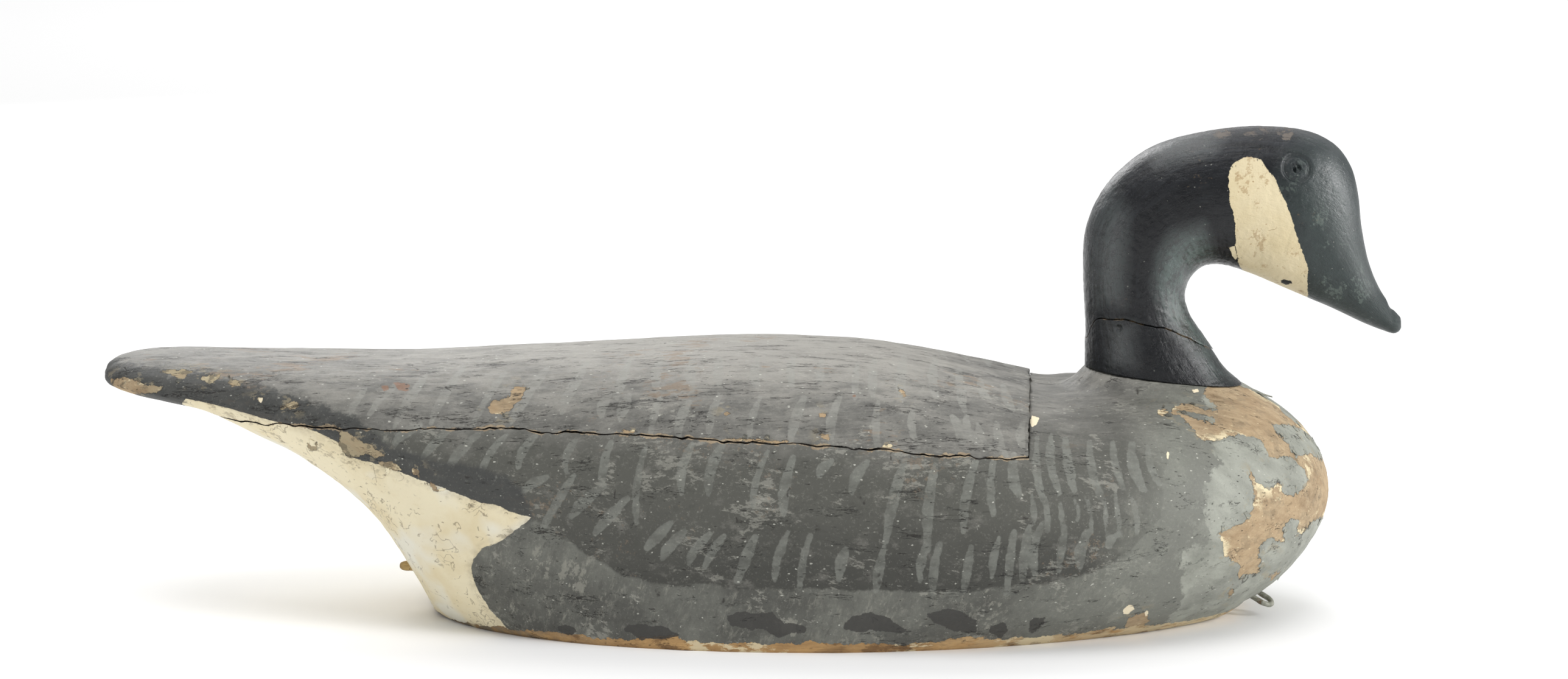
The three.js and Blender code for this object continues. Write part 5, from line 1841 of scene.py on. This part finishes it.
def barePeg():
    material = newMaterial("barePeg")
    grained = useGroup(bareWood, Pale=pegPaint["pale"], Dark=pegPaint["dark"], Streak=1.6)
    knocks = useGroup(scuffs, Size=2.0, Patch=7.0, Amount=0.42)[0]
    colour = layOver(grained[0], knocks, 0.75, pegPaint["knock"])
    end = remap(field("fromEnd"), 0.0, 3.0, 0.6, 0.0)
    colour = mixColour(end, colour, pegPaint["end"])
    finishMaterial(colour, 0.8, times(grained[1], 0.3))
    return material


def stapleWire():
    material = newMaterial("stapleWire")
    blotch = noise(objectPoint(), 3.5, 4.0, 0.7)
    fine = noise(objectPoint(), 0.8, 3.0)
    colour = mixColour(remap(blotch, 0.4, 0.6), wirePaint["dull"], wirePaint["bright"])
    rust = remap(noise(objectPoint(shift=(0.1, 0.3, 0)), 5, 5.0, 0.7), 0.56, 0.64)
    colour = mixColour(rust, colour, wirePaint["rust"])
    rough = mixValue(rust, 0.42, 0.75)
    finishMaterial(colour, rough, times(fine, 0.12))
    return material


def flakePaint():
    material = newMaterial("flakePaint")
    tone = bodyPaint
    shown = field("flakeTone")
    fine = noise(objectPoint(), 1.5, 4.0, 0.7)
    colour = mixColour(remap(shown, 0.3, 0.4), tone["side"], tone["breast"])
    colour = mixColour(remap(shown, 0.6, 0.7), colour, tone["cream"])
    colour = tinted(colour, fine, 0.5, 0.75, 0.4, tone["primer"])
    finishMaterial(colour, 0.7, times(fine, 0.15))
    return material


# Curled flakes of paint along the torn edges, made by a node tree on points picked from the body
flakeForm = {
    "count": 56,
    "apart": 9.0,
    "length": 3.4,
    "width": 2.8,
    "thickness": 0.24,
    "curl": 0.16,
    "lift": 0.0,
    "tear": 2.2,
    "seed": 5,
}


def pickFlakePoints():
    draw = np.random.default_rng(flakeForm["seed"])
    chosen, normal, lean, tone = [], [], [], []
    for piece, share in ((block, 0.85), (board, 0.15)):
        points, normals = pointsOf(piece), normalsOf(piece)
        peel = fieldOf(piece, "peelMm")
        kept = np.where((np.abs(peel + 1.3) < 0.6) & (points[:, 2] > 6))[0]
        draw.shuffle(kept)
        picked = []
        for i in kept:
            if len(picked) >= flakeForm["count"] * share:
                break
            if all(np.linalg.norm(points[i] - points[j]) > flakeForm["apart"] for j in picked):
                picked.append(i)
        breast, cream = fieldOf(piece, "breastMm"), fieldOf(piece, "creamMm")
        for i in picked:
            around = np.linalg.norm(points - points[i], axis=1) < 5
            spread = points[around] - points[i]
            pull = (spread * (peel[around] - peel[i])[:, None]).sum(axis=0)
            pull -= normals[i] * (pull @ normals[i])
            lean.append(pull / (np.linalg.norm(pull) + 1e-9))
            chosen.append(points[i] + normals[i] * flakeForm["lift"])
            tone.append(1.0 if cream[i] > 0 else 0.5 if breast[i] > -12 else 0.0)
            normal.append(normals[i])
    return chosen, normal, lean, tone


def makeFlakeTree(material):
    tree = bpy.data.node_groups.new("curledFlakes", "GeometryNodeTree")
    tree.interface.new_socket("Geometry", in_out="INPUT", socket_type="NodeSocketGeometry")
    for title in ("Length", "Width", "Thickness", "Curl", "Tear"):
        socket = tree.interface.new_socket(title, in_out="INPUT", socket_type="NodeSocketFloat")
        socket.default_value = flakeForm[title.lower()] * 0.001
    tree.interface.new_socket("Seed", in_out="INPUT", socket_type="NodeSocketInt").default_value = 1
    tree.interface.new_socket("Geometry", in_out="OUTPUT", socket_type="NodeSocketGeometry")
    building["tree"] = tree
    given = tree.nodes.new("NodeGroupInput").outputs
    made = tree.nodes.new("NodeGroupOutput").inputs
    plate = addNode("GeometryNodeMeshCube", {
        "Size": vectorOf(given["Length"], given["Width"], given["Thickness"]),
        "Vertices X": 6, "Vertices Y": 5, "Vertices Z": 2}).outputs[0]
    place = addNode("GeometryNodeInputPosition").outputs[0]
    forward = addNode("ShaderNodeSeparateXYZ", {0: place}).outputs[0]
    reach = calculate("DIVIDE", forward, given["Length"])
    ahead = calculate("MAXIMUM", total(reach, 0.3), 0.0)
    rise = times(ahead, ahead, given["Length"], given["Curl"], 1000.0)
    torn = addNode("ShaderNodeTexNoise", {"Vector": place, "Scale": 620.0, "Detail": 2.0})
    centred = combine("SUBTRACT", torn.outputs["Color"], (0.5, 0.5, 0.5))
    tear = combine("SCALE", combine("MULTIPLY", centred, (2.0, 2.0, 0.3)), given["Tear"])
    offset = combine("ADD", tear, vectorOf(z=rise))
    curled = addNode("GeometryNodeSetPosition", {"Geometry": plate, "Offset": offset}).outputs[0]

    def named(title):
        source = addNode("GeometryNodeInputNamedAttribute", {"Name": title}, data_type="FLOAT_VECTOR")
        return source.outputs[0]

    upright = addNode("FunctionNodeAlignRotationToVector", {"Vector": named("outward")}, axis="Z").outputs[0]
    turned = addNode("FunctionNodeAlignRotationToVector", {
        "Rotation": upright, "Vector": named("lean")}, axis="X", pivot_axis="Z").outputs[0]
    spread = addNode("FunctionNodeRandomValue", {
        "Min": (0.4, 0.35, 0.8), "Max": (1.5, 1.7, 1.3), "Seed": given["Seed"]},
        data_type="FLOAT_VECTOR").outputs[0]
    placed = addNode("GeometryNodeInstanceOnPoints", {
        "Points": given["Geometry"], "Instance": curled, "Rotation": turned, "Scale": spread}).outputs[0]
    real = addNode("GeometryNodeRealizeInstances", {"Geometry": placed}).outputs[0]
    finished = addNode("GeometryNodeSetMaterial", {"Geometry": real, "Material": material}).outputs[0]
    return putOut(made, Geometry=finished)


def buildFlakes(material):
    points, outward, lean, tone = pickFlakePoints()
    seeds = bpy.data.meshes.new("flakePoints")
    seeds.from_pydata([list(point * 0.001) for point in points], [], [])
    for name, values in (("outward", outward), ("lean", lean)):
        layer = seeds.attributes.new(name, "FLOAT_VECTOR", "POINT")
        layer.data.foreach_set("vector", np.array(values, np.float32).ravel())
    seeds.attributes.new("flakeTone", "FLOAT", "POINT").data.foreach_set("value", np.array(tone, np.float32))
    holder = putInScene("flakePoints", seeds)
    modifier = holder.modifiers.new("curledFlakes", "NODES")
    modifier.node_group = makeFlakeTree(material)
    for item in modifier.node_group.interface.items_tree:
        if item.in_out == "INPUT" and item.name == "Seed":
            modifier[item.identifier] = flakeForm["seed"]
    seen = holder.evaluated_get(bpy.context.evaluated_depsgraph_get())
    mesh = bpy.data.meshes.new_from_object(seen)
    mesh.name = "paintFlakes"
    holder.modifiers.clear()
    bpy.data.objects.remove(holder)
    mesh.shade_smooth()
    return putInScene("paintFlakes", mesh)


# The lifted strip of paint that stands off the breast in front of the neck
sliverForm = {
    "root": (2036, 632),
    "tip": (2083, 653),
    "width": 7,
    "thickness": 0.45,
    "lift": 3.2,
    "steps": 26,
    "sink": 0.5,
}


def upperSkinAt(skin, x, y):
    # the height of the carved block's upper skin near a place, from its own points
    away = np.hypot(skin[:, 0] - x, skin[:, 1] - y)
    near = away < 3
    weight = 1 / (0.2 + away[near]) ** 2
    return (skin[near, 2] * weight).sum() / weight.sum()


def buildSliver():
    # it starts just in front of the neck and runs forwards and down the breast
    startX = neckX + headForm["stations"][0][2] * headForm["height"] + 1.0
    run = (sliverForm["tip"][0] - sliverForm["root"][0]) * photoView["mmPerPixel"]
    across = np.linspace(-1, 1, 7)
    points = pointsOf(block)
    skin = points[(normalsOf(block)[:, 2] > 0.2) & (points[:, 0] > startX - 5) & (np.abs(points[:, 1]) < 15)]
    upper, lower = [], []
    for t in np.linspace(0, 1, sliverForm["steps"]):
        x = startX + run * t
        half = sliverForm["width"] / 2 * (1 - 0.75 * t ** 1.5)
        wander = 1.2 * math.sin(5 * t) + 0.4 * math.sin(17 * t)
        lift = sliverForm["lift"] * t ** 1.6 - sliverForm["sink"] * (1 - t)
        row = []
        for c in across:
            y = -3.0 + wander + half * c
            height = upperSkinAt(skin, x, y) + lift + 0.25 * c * c * t
            row.append((x + 0.5 * math.sin(9 * c + 3 * t), y, height))
        row = np.array(row)
        upper.append(row)
        lower.append(row - [0, 0, sliverForm["thickness"]])
    rings = [np.concatenate([top, under[::-1]]) for top, under in zip(upper, lower)]
    ends = [rings[0].mean(axis=0), rings[-1].mean(axis=0)]
    return ringsToPiece("liftedPaint", rings, ends, lambda points: {"flakeTone": np.full(len(points), 0.5)})


def dress(piece, material, node):
    piece.data.materials.clear()
    piece.data.materials.append(material)
    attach(piece, "root")
    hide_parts(node)


dress(block, paintedBody("paintedBody", False), "body_block")
dress(board, paintedBody("paintedBoard", True), "back_board")
dress(head, paintedHead("paintedHead", True), "head_and_neck")
dress(neckBase, paintedHead("paintedNeckBase", False), "neck_base")
dress(peg, barePeg(), "rump_peg")
dress(staple, stapleWire(), "anchor_staple")
flakeMaterial = flakePaint()
flakes = buildFlakes(flakeMaterial)
sliver = buildSliver()
sliver.data.materials.append(flakeMaterial)
for piece in (flakes, sliver):
    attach(piece, "root")
print("materials laid on,", len(flakes.data.polygons), "faces of flakes")

# The floor, the soft studio lights and the camera
studio = {
    "floorSize": 30,
    "floorTone": (0.9, 0.9, 0.9, 1),
    "skyTone": (1.0, 1.0, 1.0, 1),
    "skyStrength": 0.46,
    "lights": [
        {"name": "keyRight", "from": (2.0, -1.0, 1.0), "to": (0.1, 0, 0.18), "size": (0.5, 0.9), "power": 30},
        {"name": "lowRight", "from": (2.2, -0.3, 0.42), "to": (0.2, 0, 0.2), "size": (0.4, 0.7), "power": 9},
        {"name": "fillLeft", "from": (-1.4, -1.9, 0.5), "to": (0.1, 0, 0.2), "size": (0.3, 0.9), "power": 5},
        {"name": "topSoft", "from": (-0.3, -0.6, 2.5), "to": (-0.1, 0, 0.1), "size": (2.0, 1.2), "power": 26},
        {"name": "farSide", "from": (-0.8, 2.2, 1.3), "to": (0, 0, 0.15), "size": (1.0, 1.2), "power": 22},
        {"name": "sweep", "from": (0, 5.0, 6.0), "to": (0, 4.4, 0), "size": (14, 7), "power": 400},
        {"name": "backGlow", "from": (0.4, 4.2, 1.6), "to": (0.4, 4.1, 0), "size": (1.2, 1.2), "power": 9},
    ],
}


def makeStudio():
    bpy.ops.mesh.primitive_plane_add(size=studio["floorSize"])
    floor = bpy.context.object
    floor.name = "paleFloor"
    material = newMaterial("paleFloor")
    shader = addNode("ShaderNodeBsdfPrincipled", {"Base Color": studio["floorTone"], "Roughness": 0.9})
    addNode("ShaderNodeOutputMaterial", {0: shader.outputs[0]})
    floor.data.materials.append(material)
    for light in studio["lights"]:
        lamp = bpy.data.lights.new(light["name"], "AREA")
        lamp.shape = "RECTANGLE"
        lamp.size, lamp.size_y = light["size"]
        lamp.energy = light["power"]
        holder = putInScene(light["name"], lamp)
        holder.location = light["from"]
        holder.rotation_euler = (Vector(light["to"]) - holder.location).to_track_quat("-Z", "Y").to_euler()
    world = bpy.data.worlds.new("studioAir")
    world.use_nodes = True
    background = world.node_tree.nodes["Background"]
    background.inputs["Color"].default_value = studio["skyTone"]
    background.inputs["Strength"].default_value = studio["skyStrength"]
    bpy.context.scene.world = world
    bpy.context.scene.view_settings.view_transform = "Standard"


def makeCamera():
    lens = bpy.data.cameras.new("photoCamera")
    lens.lens = photoView["lens"]
    lens.sensor_width = photoView["sensor"]
    lens.sensor_fit = "HORIZONTAL"
    camera = putInScene("photoCamera", lens)
    camera.location = Vector((photoView["cameraX"], photoView["cameraY"], photoView["cameraZ"])) * 0.001
    aim = Vector((photoView["cameraX"], 0, photoView["aimZ"])) * 0.001
    camera.rotation_euler = (aim - camera.location).to_track_quat("-Z", "Y").to_euler()
    bpy.context.scene.camera = camera


makeStudio()
makeCamera()
print("studio and camera set")
